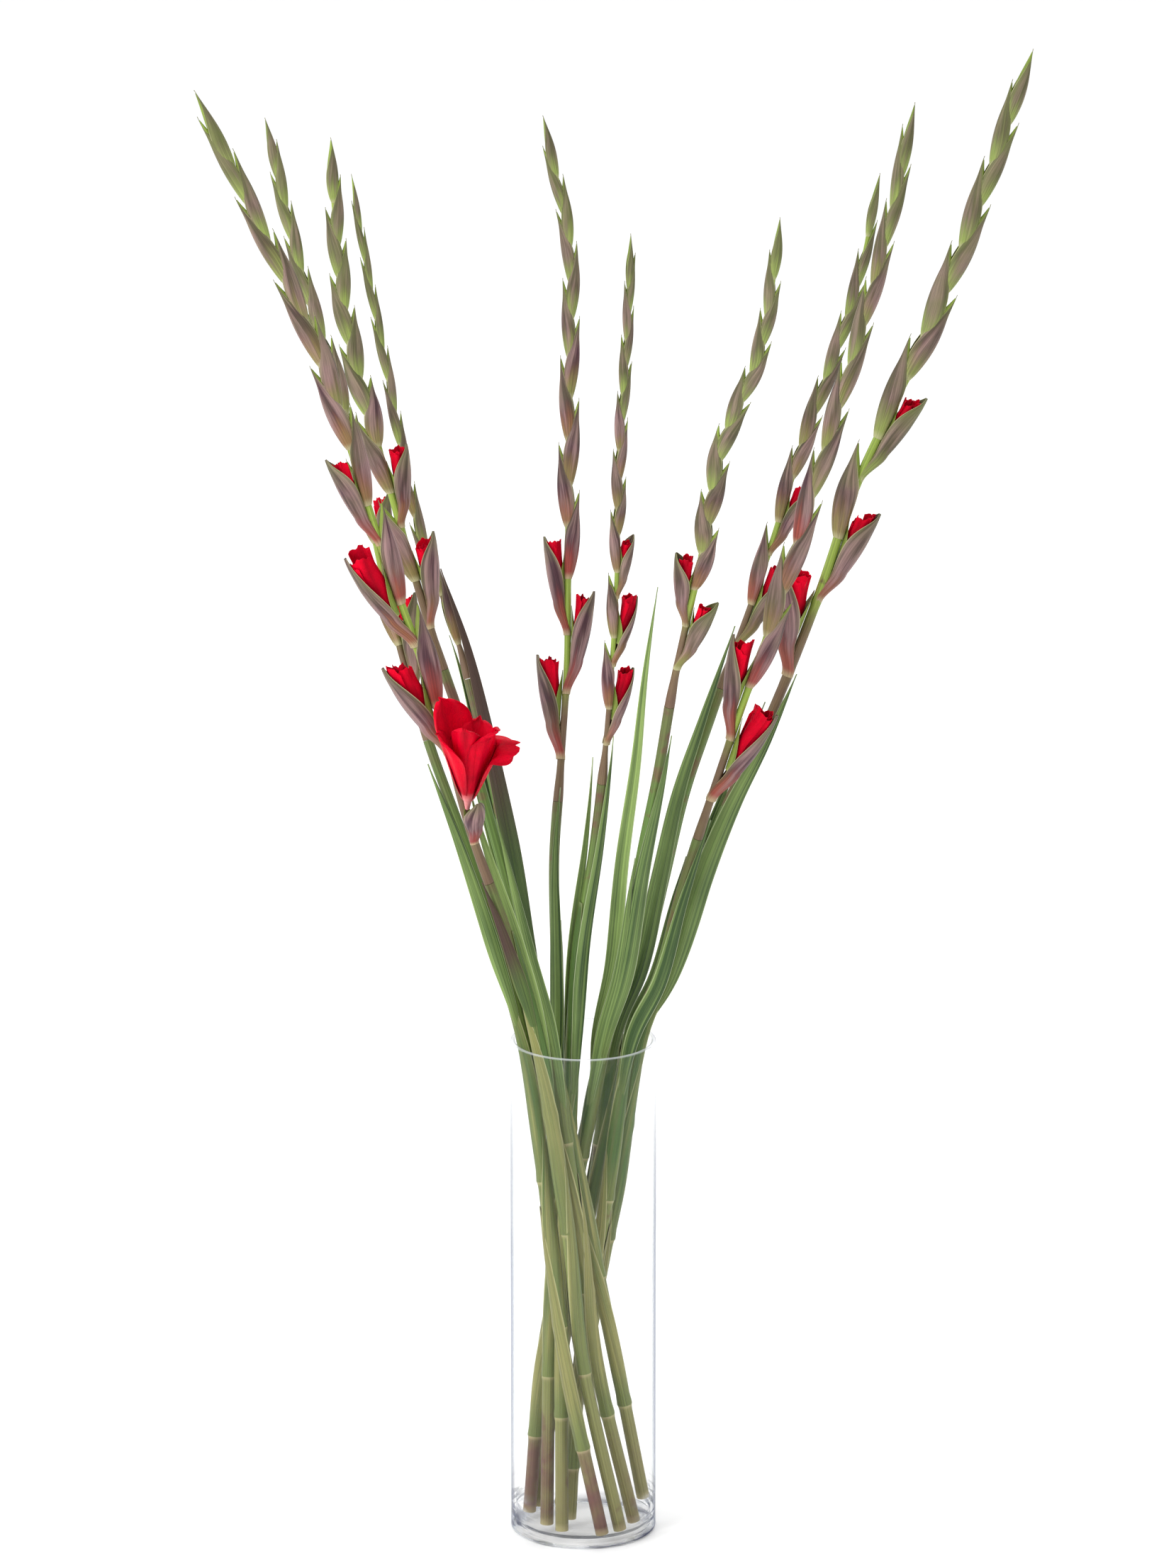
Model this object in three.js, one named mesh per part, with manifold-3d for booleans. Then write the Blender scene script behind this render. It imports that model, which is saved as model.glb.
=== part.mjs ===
// Ten cut gladiolus stems, mostly in bud and one in flower, standing in a clear glass cylinder vase.
// Millimetres, +Z up, +Y away from the front view. The origin is the middle of the vase's underside.

import * as THREE from 'three';
import { mergeVertices } from 'three/addons/utils/BufferGeometryUtils.js';
import Module from 'manifold-3d';

const wasm = await Module();
wasm.setup();

// Vase
const vaseHeight = 405;
const vaseRadius = 57.5;
const vaseWall = 4;
const vaseFloor = 6;
const vaseRimRound = 1.5;
const vaseFootRound = 2.5;
const vaseSegments = 32;

// Clearance kept between pieces that touch
const seatGap = 0.3;

// Stalk and flower stem
const footRadius = 5.2;
const scapeRadius = 4;
const rachisRadius = 2.9;
const scapeLength = 34;
const nodeHeights = [95, 205, 318];
const nodeSwell = 0.5;
const stalkSides = 6;
const rachisSides = 4;
const stalkStep = 68;
const rachisStep = 85;
const bendFrom = 400;

// Bracts, for the longest one on a stem of plumpness 1. The shares and powers shape them along their
// length, and bigBracts is how many of the lowest ones have bigStations.
const gapFall = 0.6;
const lastGap = 0.6;
const bractReach = 1.85;
const upperReach = 2.2;
const bractLongest = 78;
const bractShortest = 24;
const bractDepth = 8.4;
const bractThickness = 5.4;
const bractLean = 8.5;
const bractWall = 0.9;
const bractCollar = 3.2;
const bractFullness = 0.62;
const bractRoundness = 0.9;
const bractPoint = 4.2;
const leanPower = 1.25;
const bigBracts = 4;
const bigStations = [0, 0.3, 0.68];
const smallStations = [0, 0.5];
const tipShare = 0.5;

// Opened bracts, wrapped round a floret by this many degrees each way at the bottom and the top
const bractWrap = 160;
const bractTipWrap = 8;
const wrapPower = 2.4;
const openColumns = 6;
const bractKeel = 0.12;
const bractNeck = 0.6;
const bractGap = 0.95;
const openRows = [0, 0.34, 0.66, 0.92, 1];

// Leaves and petals
const leafThickness = 0.9;
const leafFold = 0.3;
const leafRows = 5;
const leafLift = 6.2;
const leafRoot = 0.14;
const leafNeck = 0.3;
const leafWidest = 0.4;
const leafTip = 0.07;
const leafPoint = 3;
const splayAtRoot = 0.25;
const splayPower = 1.4;
const petalThickness = 0.8;

// Furled florets, for a bloom of size 1
const floretRadius = 8;
const smallestFloret = 0.55;
const floretPetals = 3;
const floretTwist = 0.9;
const floretEdge = 0.18;
const floretClearance = 0.5;
const floretFlat = 0.85;
const floretStretch = 0.08;
const floretRoot = 0.06;
const floretFoot = 0.34;
const floretFull = 0.92;
const floretSkew = 0.6;
const floretStations = [
  { u: floretFoot, share: 1, rise: 0 },
  { u: 0.66, share: 1, rise: 0 },
  { u: floretFull, share: 1, rise: 0.6 },
  { u: 1.08, share: 0.8, rise: 3 },
  { u: 1, share: 0.3, rise: 0 },
];

// Each stem's route runs from its cut foot to its tip. firstTip is how far along the stem the lowest
// bract ends, and gapLow and gapHigh are the steps from tip to tip at the bottom and the top.
// A bract's side is 1 for right and -1 for left, and the sides alternate.
// Leaves run from and to a distance along the stem. layer 1 passes in front of the stalk and -1 behind.
// A stem that is offFloor leans on the wall of the vase, with its foot where its route starts.
const stems = [
  {
    id: '01',
    route: [
      [29, -31, 9], [0, -38, 146], [-13, -44, 262], [-34, -32, 405], [-56, -32, 490], [-89, -32, 588],
      [-113, -34, 683], [-155, -38, 811], [-203, -44, 967], [-258, -50, 1093], [-296, -54, 1176],
    ],
    plump: 1.25,
    firstTip: 733,
    gapLow: 47.5,
    gapHigh: 33,
    firstSide: -1,
    rankTurn: 8,
    blooms: [{ bract: 0, size: 0.9 }, { bract: 2, size: 1.05 }, { bract: 4, size: 0.4 }],
    leaves: [
      { from: 330, to: 625, side: 1, splay: 9, width: 15, layer: -1, turn: 15 },
      { from: 412, to: 550, side: -1, splay: 5, width: 12, layer: 1, turn: -10 },
    ],
  },
  {
    id: '02',
    route: [
      [15, -41, 9], [-13, -44, 146], [-27, -36, 262], [-46, -10, 405], [-66, 12, 471], [-92, 38, 551],
      [-120, 62, 625], [-144, 84, 700], [-187, 124, 882], [-221, 144, 988], [-243, 154, 1083],
      [-249, 156, 1110],
    ],
    plump: 1.0,
    firstTip: 767,
    gapLow: 44,
    gapHigh: 23,
    firstSide: 1,
    rankTurn: -12,
    blooms: [{ bract: 0, size: 0.6 }, { bract: 2, size: 0.4 }],
    leaves: [
      { from: 398, to: 637, side: -1, splay: 5, width: 13, layer: 1, turn: 10 },
      { from: 310, to: 560, side: 1, splay: 4, width: 12, layer: -1, turn: 0 },
    ],
  },
  {
    id: '03',
    route: [
      [40, -11, 9], [10, -24, 146], [-4, -30, 262], [-26, -17, 405], [-46, -8, 480], [-68, 2, 564],
      [-93, 12, 653], [-116, 20, 722], [-154, 32, 856], [-183, 42, 969], [-193, 50, 1069],
      [-195, 54, 1116],
    ],
    plump: 1.15,
    firstTip: 818,
    gapLow: 38,
    gapHigh: 23,
    firstSide: 1,
    rankTurn: 5,
    blooms: [{ bract: 0, size: 0.45 }, { bract: 2, size: 0.5 }],
    leaves: [
      { from: 330, to: 590, side: 1, splay: 5, width: 13, layer: 1, turn: -10 },
      { from: 350, to: 640, side: -1, splay: 4, width: 12, layer: -1, turn: 10 },
    ],
  },
  {
    id: '04',
    offFloor: true,
    route: [
      [47.6, 5, 22], [25, -9, 146], [3, -17, 262], [-28, -4, 405], [-45, 18, 478], [-63, 42, 564],
      [-79, 62, 633], [-96, 80, 698], [-131, 100, 799], [-151, 114, 901], [-171, 126, 1007],
      [-181, 133, 1070],
    ],
    plump: 0.6,
    firstTip: 780,
    gapLow: 34,
    gapHigh: 21,
    firstSide: 1,
    rankTurn: 20,
    blooms: [],
    leaves: [
      { from: 415, to: 772, side: 1, splay: 5, width: 21, layer: 1, turn: 5 },
      { from: 400, to: 720, side: -1, splay: 3, width: 13, layer: -1, turn: 0 },
    ],
  },
  {
    id: '05',
    route: [
      [-29, -15, 9], [-27, -13, 146], [-24, 10, 262], [-21, 24, 405], [-22, 52, 462], [-23, 84, 529],
      [-18, 112, 596], [-13, 140, 670], [-12, 170, 778], [-11, 194, 888], [-11, 212, 993],
      [-25, 222, 1065], [-32, 226, 1097],
    ],
    plump: 1.0,
    firstTip: 696,
    gapLow: 52,
    gapHigh: 23,
    firstSide: -1,
    rankTurn: -8,
    blooms: [{ bract: 0, size: 0.8 }, { bract: 1, size: 0.6 }, { bract: 2, size: 0.5 }],
    leaves: [
      { from: 320, to: 595, side: 1, splay: 2, width: 12, layer: 1, turn: 0 },
    ],
  },
  {
    id: '06',
    route: [
      [-17, -31, 9], [-17, -22, 146], [-14, 0, 262], [-8, 2, 405], [-3, -10, 484], [9, -26, 572],
      [17, -42, 651], [25, -68, 777], [28, -92, 901], [34, -112, 1008], [36, -124, 1080],
    ],
    plump: 0.75,
    firstTip: 718,
    gapLow: 32,
    gapHigh: 21,
    firstSide: 1,
    rankTurn: 25,
    blooms: [{ bract: 0, size: 0.85 }, { bract: 2, size: 0.95 }, { bract: 4, size: 0.4 }],
    leaves: [
      { from: 320, to: 668, side: 1, splay: 3, width: 13, layer: 1, turn: 0 },
      { from: 340, to: 645, side: -1, splay: 7, width: 11, layer: -1, turn: 10 },
    ],
  },
  {
    id: '07',
    route: [
      [-43, 14, 9], [-31, 14, 146], [-8, 18, 262], [17, 6, 405], [31, -6, 462], [44, -30, 556],
      [58, -52, 636], [70, -74, 716], [91, -104, 826], [106, -126, 915], [133, -146, 991],
      [145, -160, 1066], [148, -166, 1102],
    ],
    plump: 1.0,
    firstTip: 804,
    gapLow: 34,
    gapHigh: 23,
    firstSide: 1,
    rankTurn: -10,
    blooms: [{ bract: 0, size: 0.4 }, { bract: 1, size: 0.4 }],
    leaves: [
      { from: 340, to: 803, side: -1, splay: 28, width: 14, layer: -1, turn: -15 },
      { from: 350, to: 685, side: 1, splay: 6, width: 16, layer: 1, turn: 5 },
      { from: 320, to: 570, side: -1, splay: 4, width: 12, layer: 1, turn: 0 },
    ],
  },
  {
    id: '08',
    route: [
      [-37, 28, 9], [-16, 28, 146], [6, 30, 262], [28, 26, 405], [46, 34, 450], [63, 50, 521],
      [79, 64, 587], [100, 76, 647], [139, 98, 753], [170, 114, 850], [213, 134, 976],
      [232, 146, 1068],
    ],
    plump: 0.9,
    firstTip: 785,
    gapLow: 36,
    gapHigh: 23,
    firstSide: 1,
    rankTurn: 12,
    blooms: [{ bract: 0, size: 0.6 }, { bract: 2, size: 0.4 }],
    leaves: [
      { from: 330, to: 735, side: -1, splay: 8, width: 17, layer: 1, turn: 0 },
      { from: 380, to: 745, side: 1, splay: 5, width: 9, layer: -1, turn: 0 },
    ],
  },
  {
    id: '09',
    route: [
      [-11, -3, 9], [-2, 2, 146], [18, 10, 262], [37, 3, 405], [58, -2, 455], [76, -10, 527],
      [115, -26, 658], [149, -38, 763], [190, -50, 907], [218, -58, 1009], [239, -62, 1099],
      [252, -66, 1169],
    ],
    plump: 1.1,
    firstTip: 692,
    gapLow: 53,
    gapHigh: 28,
    firstSide: 1,
    rankTurn: -5,
    blooms: [{ bract: 0, size: 1 }, { bract: 1, size: 0.8 }],
    leaves: [
      { from: 330, to: 600, side: 1, splay: 5, width: 14, layer: 1, turn: 0 },
      { from: 350, to: 560, side: -1, splay: 4, width: 12, layer: -1, turn: 0 },
    ],
  },
  {
    id: '10',
    route: [
      [-18, 30, 9], [4, 27, 146], [25, 28, 262], [46, 13, 405], [68, 10, 457], [90, 10, 533],
      [114, 12, 596], [141, 14, 652], [180, 18, 751], [213, 22, 850], [247, 26, 925],
      [284, 30, 1011], [322, 34, 1117], [346, 38, 1189],
    ],
    plump: 1.4,
    firstTip: 795,
    gapLow: 64,
    gapHigh: 28,
    firstSide: -1,
    rankTurn: 6,
    blooms: [{ bract: 0, size: 0.8 }, { bract: 1, size: 0.4 }, { bract: 3, size: 0.3 }],
    leaves: [
      { from: 400, to: 722, side: 1, splay: 5, width: 20, layer: 1, turn: 0 },
      { from: 360, to: 690, side: -1, splay: 7, width: 10, layer: -1, turn: 0 },
      { from: 400, to: 600, side: 1, splay: 6, width: 13, layer: -1, turn: 0 },
    ],
  },
];

// The open flower grows from the first stem, below its lowest bract
const flowerStem = '01';
const flowerBract = { tip: 614, side: 1, reach: 34, size: 0.95 };
const flowerBractSize = 0.75;
const flowerFacing = new THREE.Vector3(0.62, -0.78, 0);
const flowerAt = 610;
const flowerForward = 5.0;
const flowerLean = new THREE.Vector3(0.04, -0.42, 0.9).normalize();
const flowerLength = 92;
const flowerMouth = 35;
const flowerTube = [[0, 1.8], [8, 3.2], [17, 4.4]];

// Its petals, from the right round the back: an outer and an inner set of three, by turns. Each opens
// from its throat to its share of the mouth, over its share of the length. They curl back and wave.
const petalStart = 9;
const petals = [
  { turn: 15, throat: 3.2, mouth: 1.12, length: 0.6 },
  { turn: 75, throat: 1.4, mouth: 0.72, length: 0.8 },
  { turn: 140, throat: 3.2, mouth: 0.95, length: 1 },
  { turn: 200, throat: 1.4, mouth: 0.8, length: 0.84 },
  { turn: 255, throat: 3.2, mouth: 0.75, length: 0.82 },
  { turn: 315, throat: 1.4, mouth: 0.7, length: 0.75 },
];
const petalSpread = 56;
const petalRows = [0, 0.3, 0.6, 0.86, 1];
const petalTip = 0.93;
const petalFullness = 7;
const openPower = 0.9;
const petalCurl = 1.35;
const petalWave = 1.5;
const petalDroop = 7;

// Colours, with how rough each surface is
const finishes = {
  glass: { color: 0xdfe8ea, roughness: 0.04 },
  stalk: { color: 0x6d8442, roughness: 0.55 },
  spike: { color: 0x77685a, roughness: 0.6 },
  petal: { color: 0xb8101f, roughness: 0.5 },
};

function clamp01(value) {
  return Math.min(Math.max(value, 0), 1);
}

// The value at u, from 0 to 1, in an evenly spaced list
function stationAt(list, u) {
  const place = u * (list.length - 1);
  const low = Math.min(Math.floor(place), list.length - 2);
  return mix(list[low], list[low + 1], place - low);
}

function smooth(value) {
  const x = clamp01(value);
  return x * x * (3 - 2 * x);
}

function mix(a, b, t) {
  return a + (b - a) * t;
}

// A manifold solid from points and triangles
function solidOf(points, triangles) {
  const vertProperties = new Float32Array(points.flatMap((p) => [p.x, p.y, p.z]));
  const triVerts = new Uint32Array(triangles.flat());
  return new wasm.Manifold(new wasm.Mesh({ numProp: 3, vertProperties, triVerts }));
}

// A three.js geometry from a manifold solid
function geometryOf(solid) {
  const mesh = solid.getMesh();
  const geometry = new THREE.BufferGeometry();
  geometry.setAttribute('position', new THREE.BufferAttribute(new Float32Array(mesh.vertProperties), 3));
  geometry.setIndex(new THREE.BufferAttribute(new Uint32Array(mesh.triVerts), 1));
  geometry.computeVertexNormals();
  return geometry;
}

// A closed solid through rings of points, lowest first, counter-clockwise seen from above.
// A ring of one point is a tip, and a flat end is closed by a fan round its middle.
function loft(rings) {
  const points = rings.flat();
  const triangles = [];
  const starts = [];
  let count = 0;
  for (const ring of rings) {
    starts.push(count);
    count += ring.length;
  }
  for (let i = 0; i < rings.length - 1; i += 1) {
    const sides = Math.max(rings[i].length, rings[i + 1].length);
    for (let j = 0; j < sides; j += 1) {
      const next = (j + 1) % sides;
      const a = starts[i] + (rings[i].length > 1 ? j : 0);
      const b = starts[i] + (rings[i].length > 1 ? next : 0);
      const c = starts[i + 1] + (rings[i + 1].length > 1 ? next : 0);
      const d = starts[i + 1] + (rings[i + 1].length > 1 ? j : 0);
      if (a !== b) triangles.push([a, b, c]);
      if (c !== d) triangles.push([a, c, d]);
    }
  }
  closeEnd(points, triangles, rings[0], starts[0], true);
  closeEnd(points, triangles, rings[rings.length - 1], starts[rings.length - 1], false);
  return solidOf(points, triangles);
}

function closeEnd(points, triangles, ring, start, lower) {
  if (ring.length < 3) return;
  const middle = new THREE.Vector3();
  for (const point of ring) middle.addScaledVector(point, 1 / ring.length);
  points.push(middle);
  for (let j = 0; j < ring.length; j += 1) {
    const next = (j + 1) % ring.length;
    const pair = lower ? [start + next, start + j] : [start + j, start + next];
    triangles.push([...pair, points.length - 1]);
  }
}

// A thin closed solid on both sides of the surface at(u, v), with u from 0 to 1 and v from -1 to 1.
// Both faces are cut into triangles along the same diagonals, and lie half the thickness from the
// surface along the mean normal of the triangles round each point.
function blade(at, rows, columns, thickness) {
  const width = columns + 1;
  const middle = [];
  for (let i = 0; i <= rows; i += 1) {
    for (let j = 0; j <= columns; j += 1) middle.push(at(i / rows, (2 * j) / columns - 1));
  }
  const normals = middle.map(() => new THREE.Vector3());
  const back = middle.length;
  const triangles = [];
  for (let i = 0; i < rows; i += 1) {
    for (let j = 0; j < columns; j += 1) {
      const a = i * width + j;
      const b = a + 1;
      const c = b + width;
      const d = a + width;
      addNormal(middle, normals, [a, b, c]);
      addNormal(middle, normals, [a, c, d]);
      triangles.push([a, b, c], [a, c, d]);
      triangles.push([a + back, c + back, b + back], [a + back, d + back, c + back]);
      if (i === 0) triangles.push([a, a + back, b + back], [a, b + back, b]);
      if (i === rows - 1) triangles.push([d, c, c + back], [d, c + back, d + back]);
      if (j === 0) triangles.push([a, d, d + back], [a, d + back, a + back]);
      if (j === columns - 1) triangles.push([b, b + back, c + back], [b, c + back, c]);
    }
  }
  const face = (side) => middle.map((point, k) => {
    return point.clone().addScaledVector(normals[k].clone().normalize(), (side * thickness) / 2);
  });
  return solidOf([...face(1), ...face(-1)], triangles);
}

// Adds a triangle's unit normal to the sums at its corners
function addNormal(points, sums, corners) {
  const [a, b, c] = corners.map((k) => points[k]);
  const normal = b.clone().sub(a).cross(c.clone().sub(a)).normalize();
  for (const k of corners) sums[k].add(normal);
}

// The stem's curve, with the foot lowered until the edge of its cut end is just above the glass
function prepare(stem) {
  const points = stem.route.map(([x, y, z]) => new THREE.Vector3(x, y, z));
  const tilt = points[1].clone().sub(points[0]);
  const edgeDrop = footRadius * Math.sin(tilt.angleTo(new THREE.Vector3(0, 0, 1)));
  if (!stem.offFloor) points[0].z = vaseFloor + seatGap + edgeDrop;
  const curve = new THREE.CatmullRomCurve3(points, false, 'centripetal');
  curve.arcLengthDivisions = 600;
  const length = curve.getLength();
  const turn = THREE.MathUtils.degToRad(stem.rankTurn);
  const rank = new THREE.Vector3(Math.cos(turn), Math.sin(turn), 0);
  return { ...stem, curve, length, rank, bracts: placeBracts(stem, length) };
}

// Bracts end at steps that shorten evenly up the stem, and each is about two steps long
function placeBracts(stem, length) {
  const bracts = [];
  let tip = stem.firstTip;
  let side = stem.firstSide;
  while (tip < length - stem.gapHigh * lastGap) {
    const share = (tip - stem.firstTip) / (length - stem.firstTip);
    const gap = mix(stem.gapLow, stem.gapHigh, share ** gapFall);
    const steps = mix(bractReach, upperReach, share * share);
    const reach = Math.min(Math.max(steps * gap, bractShortest), bractLongest);
    const afterBloom = stem.blooms.some((bloom) => bloom.bract === bracts.length - 1);
    bracts.push({ tip, side, reach, afterBloom, size: stem.plump * mix(1, tipShare, share) });
    tip += gap;
    side = -side;
  }
  const reach = upperReach * stem.gapHigh;
  bracts.push({ tip: length, side: 0, reach, size: stem.plump * tipShare });
  return bracts;
}

// The point beside the stem, across its ranks and in depth, at a distance along it
function beside(stem, distance, across, depth) {
  const t = clamp01(distance / stem.length);
  const tangent = stem.curve.getTangentAt(t);
  const point = stem.curve.getPointAt(t);
  const side = stem.rank.clone().addScaledVector(tangent, -stem.rank.dot(tangent)).normalize();
  const away = tangent.clone().cross(side);
  return point.addScaledVector(side, across).addScaledVector(away, depth)
    .addScaledVector(tangent, distance - t * stem.length);
}

function ringRound(stem, distance, radius, sides) {
  const ring = [];
  for (let j = 0; j < sides; j += 1) {
    const angle = (2 * Math.PI * j) / sides;
    ring.push(beside(stem, distance, radius * Math.cos(angle), radius * Math.sin(angle)));
  }
  return ring;
}

// Where the green stalk ends and the flower stem begins
function scapeStart(stem) {
  const lowest = stem.id === flowerStem ? flowerBract : stem.bracts[0];
  return lowest.tip - lowest.reach - scapeLength;
}

// The stem thins from its foot to the scape and on to its tip, and swells a little at each node.
// Among the bracts it is slim enough to be clasped by them.
function stemRadius(stem, distance) {
  const scape = scapeStart(stem);
  const swell = nodeHeights.some((height) => Math.abs(distance - height) < 1) ? nodeSwell : 0;
  const lower = mix(footRadius, scapeRadius, smooth(distance / scape)) + swell;
  const share = clamp01((distance - scape) / (stem.length - scape));
  const upper = rachisRadius * stem.plump * mix(1, tipShare, share);
  return mix(lower, upper, smooth((distance - scape) / scapeLength));
}

function makeStalk(stem) {
  const end = scapeStart(stem) - seatGap;
  const distances = [0, ...nodeHeights];
  const steps = Math.round((end - bendFrom) / stalkStep);
  for (let i = 0; i <= steps; i += 1) distances.push(mix(bendFrom, end, i / steps));
  return loft(distances.map((d) => ringRound(stem, d, stemRadius(stem, d), stalkSides)));
}

// A sword leaf: sunk in the stalk at its root, lying on it, then leaning out to a long point
function makeLeaf(stem, leaf) {
  const turn = THREE.MathUtils.degToRad(leaf.turn);
  const at = (u, v) => {
    const distance = mix(leaf.from, leaf.to, u);
    const root = smooth(u / leafRoot);
    const width = leaf.width * mix(leafNeck, 1, smooth(u / leafWidest));
    const half = (width / 2) * Math.max(1 - u ** leafPoint, leafTip);
    const lift = (leafLift - leafFold * half * Math.abs(v)) * root;
    const splay = splayAtRoot * root + (1 - splayAtRoot) * u ** splayPower;
    const across = leaf.side * leaf.splay * splay + half * v * Math.cos(turn);
    return beside(stem, distance, across, -leaf.layer * lift + half * v * Math.sin(turn));
  };
  return blade(at, leafRows, 2, leafThickness);
}

// How far a bract's middle leans from the stem, and its half depth and half thickness, at u along it
function bractForm(bract, u) {
  const swell = Math.sin(Math.PI * u ** bractFullness) ** bractRoundness;
  const point = bract.size * (1 - u ** bractPoint);
  return {
    lean: bractLean * bract.size * u ** leanPower,
    depth: mix(bractCollar, bractDepth, swell) * point,
    thick: mix(bractCollar, bractThickness, swell) * point,
  };
}

// A closed bract with its bud inside: a keeled boat, pointed at the top
function makeBract(stem, bract, stations) {
  const sides = 4;
  const rings = stations.map((u) => {
    const form = bractForm(bract, u);
    const distance = bract.tip - bract.reach * (1 - u);
    const ring = [];
    for (let j = 0; j < sides; j += 1) {
      const angle = (2 * Math.PI * j) / sides;
      const inner = bract.afterBloom && Math.cos(angle) * bract.side < -0.5;
      const depth = inner ? form.lean + bractCollar * bract.size : form.depth;
      const across = bract.side * form.lean + depth * Math.cos(angle);
      ring.push(beside(stem, distance, across, form.thick * Math.sin(angle)));
    }
    return ring;
  });
  const tipLean = bractLean * bract.size * bract.side;
  rings.push([beside(stem, bract.tip, tipLean, 0)]);
  return loft(rings);
}

// How far along the stem and across it a floret's middle is, and its radius, at a station.
// It lies beside the rachis, which it doesn't touch.
function floretForm(bract, size, station) {
  const distance = bract.tip - bract.reach * (1 - station.u * (1 + floretStretch * size));
  const swell = Math.sin((Math.PI / 2) * clamp01((station.u - floretRoot) / (floretFull - floretRoot)));
  const widest = floretRadius * bract.size * mix(smallestFloret, 1, size) * swell;
  const clear = bractCollar * bract.size + widest * (1 + floretEdge) + floretClearance;
  return { distance, radius: widest * station.share, middle: bract.side * clear };
}

// An opened bract: a pointed sheet wrapped round its floret, with its keel outwards
function makeOpenBract(stem, bract, size) {
  const at = (u, v) => {
    const along = stationAt(openRows, u);
    const form = floretForm(bract, size, { u: Math.max(along, floretFoot), share: 1 });
    const root = smooth(along / floretFoot);
    const wrap = THREE.MathUtils.degToRad(mix(bractWrap, bractTipWrap, along ** wrapPower));
    const around = form.radius * (1 + floretEdge) + bractGap + bractWall / 2;
    const clear = around / Math.cos(wrap / openColumns);
    const radius = clear * mix(bractNeck, 1, root) * (1 + bractKeel * (1 - Math.abs(v)));
    const across = form.middle * root + bract.side * radius * Math.cos(wrap * v);
    const distance = bract.tip - bract.reach * (1 - along * (1 + floretStretch * size));
    return beside(stem, distance, across, -bract.side * radius * Math.sin(wrap * v));
  };
  return blade(at, openRows.length - 1, openColumns, bractWall);
}

// A furled floret: petals rolled round each other, so its section steps out at every petal's edge
function makeFloret(stem, bract, size) {
  const sides = floretPetals * 3;
  const rings = floretStations.map((station) => {
    const form = floretForm(bract, size, station);
    const ring = [];
    for (let j = 0; j < sides; j += 1) {
      const angle = (2 * Math.PI * j) / sides + floretTwist * station.u;
      const radius = form.radius * (1 + floretEdge * station.share * ((j % 3) - 1));
      const distance = form.distance + station.rise * size * ((j % 3) - floretSkew);
      const across = form.middle + radius * Math.cos(angle);
      ring.push(beside(stem, distance, across, radius * floretFlat * Math.sin(angle)));
    }
    return ring;
  });
  return loft(rings);
}

function bloomOf(stem, index) {
  return stem.blooms.find((bloom) => bloom.bract === index);
}

// The flower stem with its bracts. Above the florets the bracts clasp it all the way, each rooted in
// the one below, so it ends inside them.
function makeSpike(stem) {
  const start = scapeStart(stem);
  const lastBloom = Math.max(-1, ...stem.blooms.map((bloom) => bloom.bract));
  const cover = stem.bracts[lastBloom + 2];
  const end = cover.tip - cover.reach / 2;
  const steps = Math.ceil((end - start) / rachisStep);
  const rings = [];
  for (let i = 0; i <= steps; i += 1) {
    const distance = mix(start, end, i / steps);
    rings.push(ringRound(stem, distance, stemRadius(stem, distance), rachisSides));
  }
  let spike = loft(rings);
  if (stem.id === flowerStem) {
    spike = spike.add(makeOpenBract(facing(stem), flowerBract, flowerBractSize));
  }
  stem.bracts.forEach((bract, index) => {
    const stations = index < bigBracts ? bigStations : smallStations;
    const bloom = bloomOf(stem, index);
    spike = spike.add(bloom ? makeOpenBract(stem, bract, bloom.size) : makeBract(stem, bract, stations));
  });
  return largest(spike);
}

// The same stem with its ranks turned to where the flower opens
function facing(stem) {
  return { ...stem, rank: flowerFacing };
}

// A solid without the loose scraps that a cut can leave
function largest(solid) {
  return solid.decompose().sort((a, b) => b.volume() - a.volume())[0];
}

// One petal of the open flower: wrapped round the throat, then opening, rolling back and waving
function makePetal(base, petal, index) {
  const middle = THREE.MathUtils.degToRad(petal.turn);
  const length = (flowerLength - petalStart) * petal.length;
  const at = (place, v) => {
    const u = stationAt(petalRows, place);
    const open = u ** openPower;
    const narrow = Math.sqrt(1 - petalTip * u ** petalFullness);
    const spread = THREE.MathUtils.degToRad(petalSpread) * narrow;
    const wave = petalWave * u * Math.sin(3 * Math.PI * v + index);
    const radius = mix(petal.throat, flowerMouth * petal.mouth, open) + wave;
    const rise = (length * Math.sin(petalCurl * u)) / Math.sin(petalCurl);
    const height = petalStart + rise - petalDroop * open * v * v;
    return base.clone()
      .addScaledVector(flowerLean, height)
      .addScaledVector(acrossFlower(middle + spread * v), radius);
  };
  return blade(at, petalRows.length - 1, 3, petalThickness);
}

// A direction across the flower, turned by an angle round its axis
function acrossFlower(angle) {
  const across = new THREE.Vector3(1, 0, 0).addScaledVector(flowerLean, -flowerLean.x).normalize();
  return across.applyAxisAngle(flowerLean, angle);
}

// The flower's narrow tube
function makeFlowerTube(base) {
  const sides = 6;
  return loft(flowerTube.map(([height, radius]) => {
    const centre = base.clone().addScaledVector(flowerLean, height);
    const ring = [];
    for (let j = 0; j < sides; j += 1) {
      const around = acrossFlower((2 * Math.PI * j) / sides);
      ring.push(centre.clone().addScaledVector(around, radius));
    }
    return ring;
  }));
}

function makeFlower(base) {
  let flower = makeFlowerTube(base);
  petals.forEach((petal, index) => {
    flower = flower.add(makePetal(base, petal, index));
  });
  return largest(flower);
}

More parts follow.
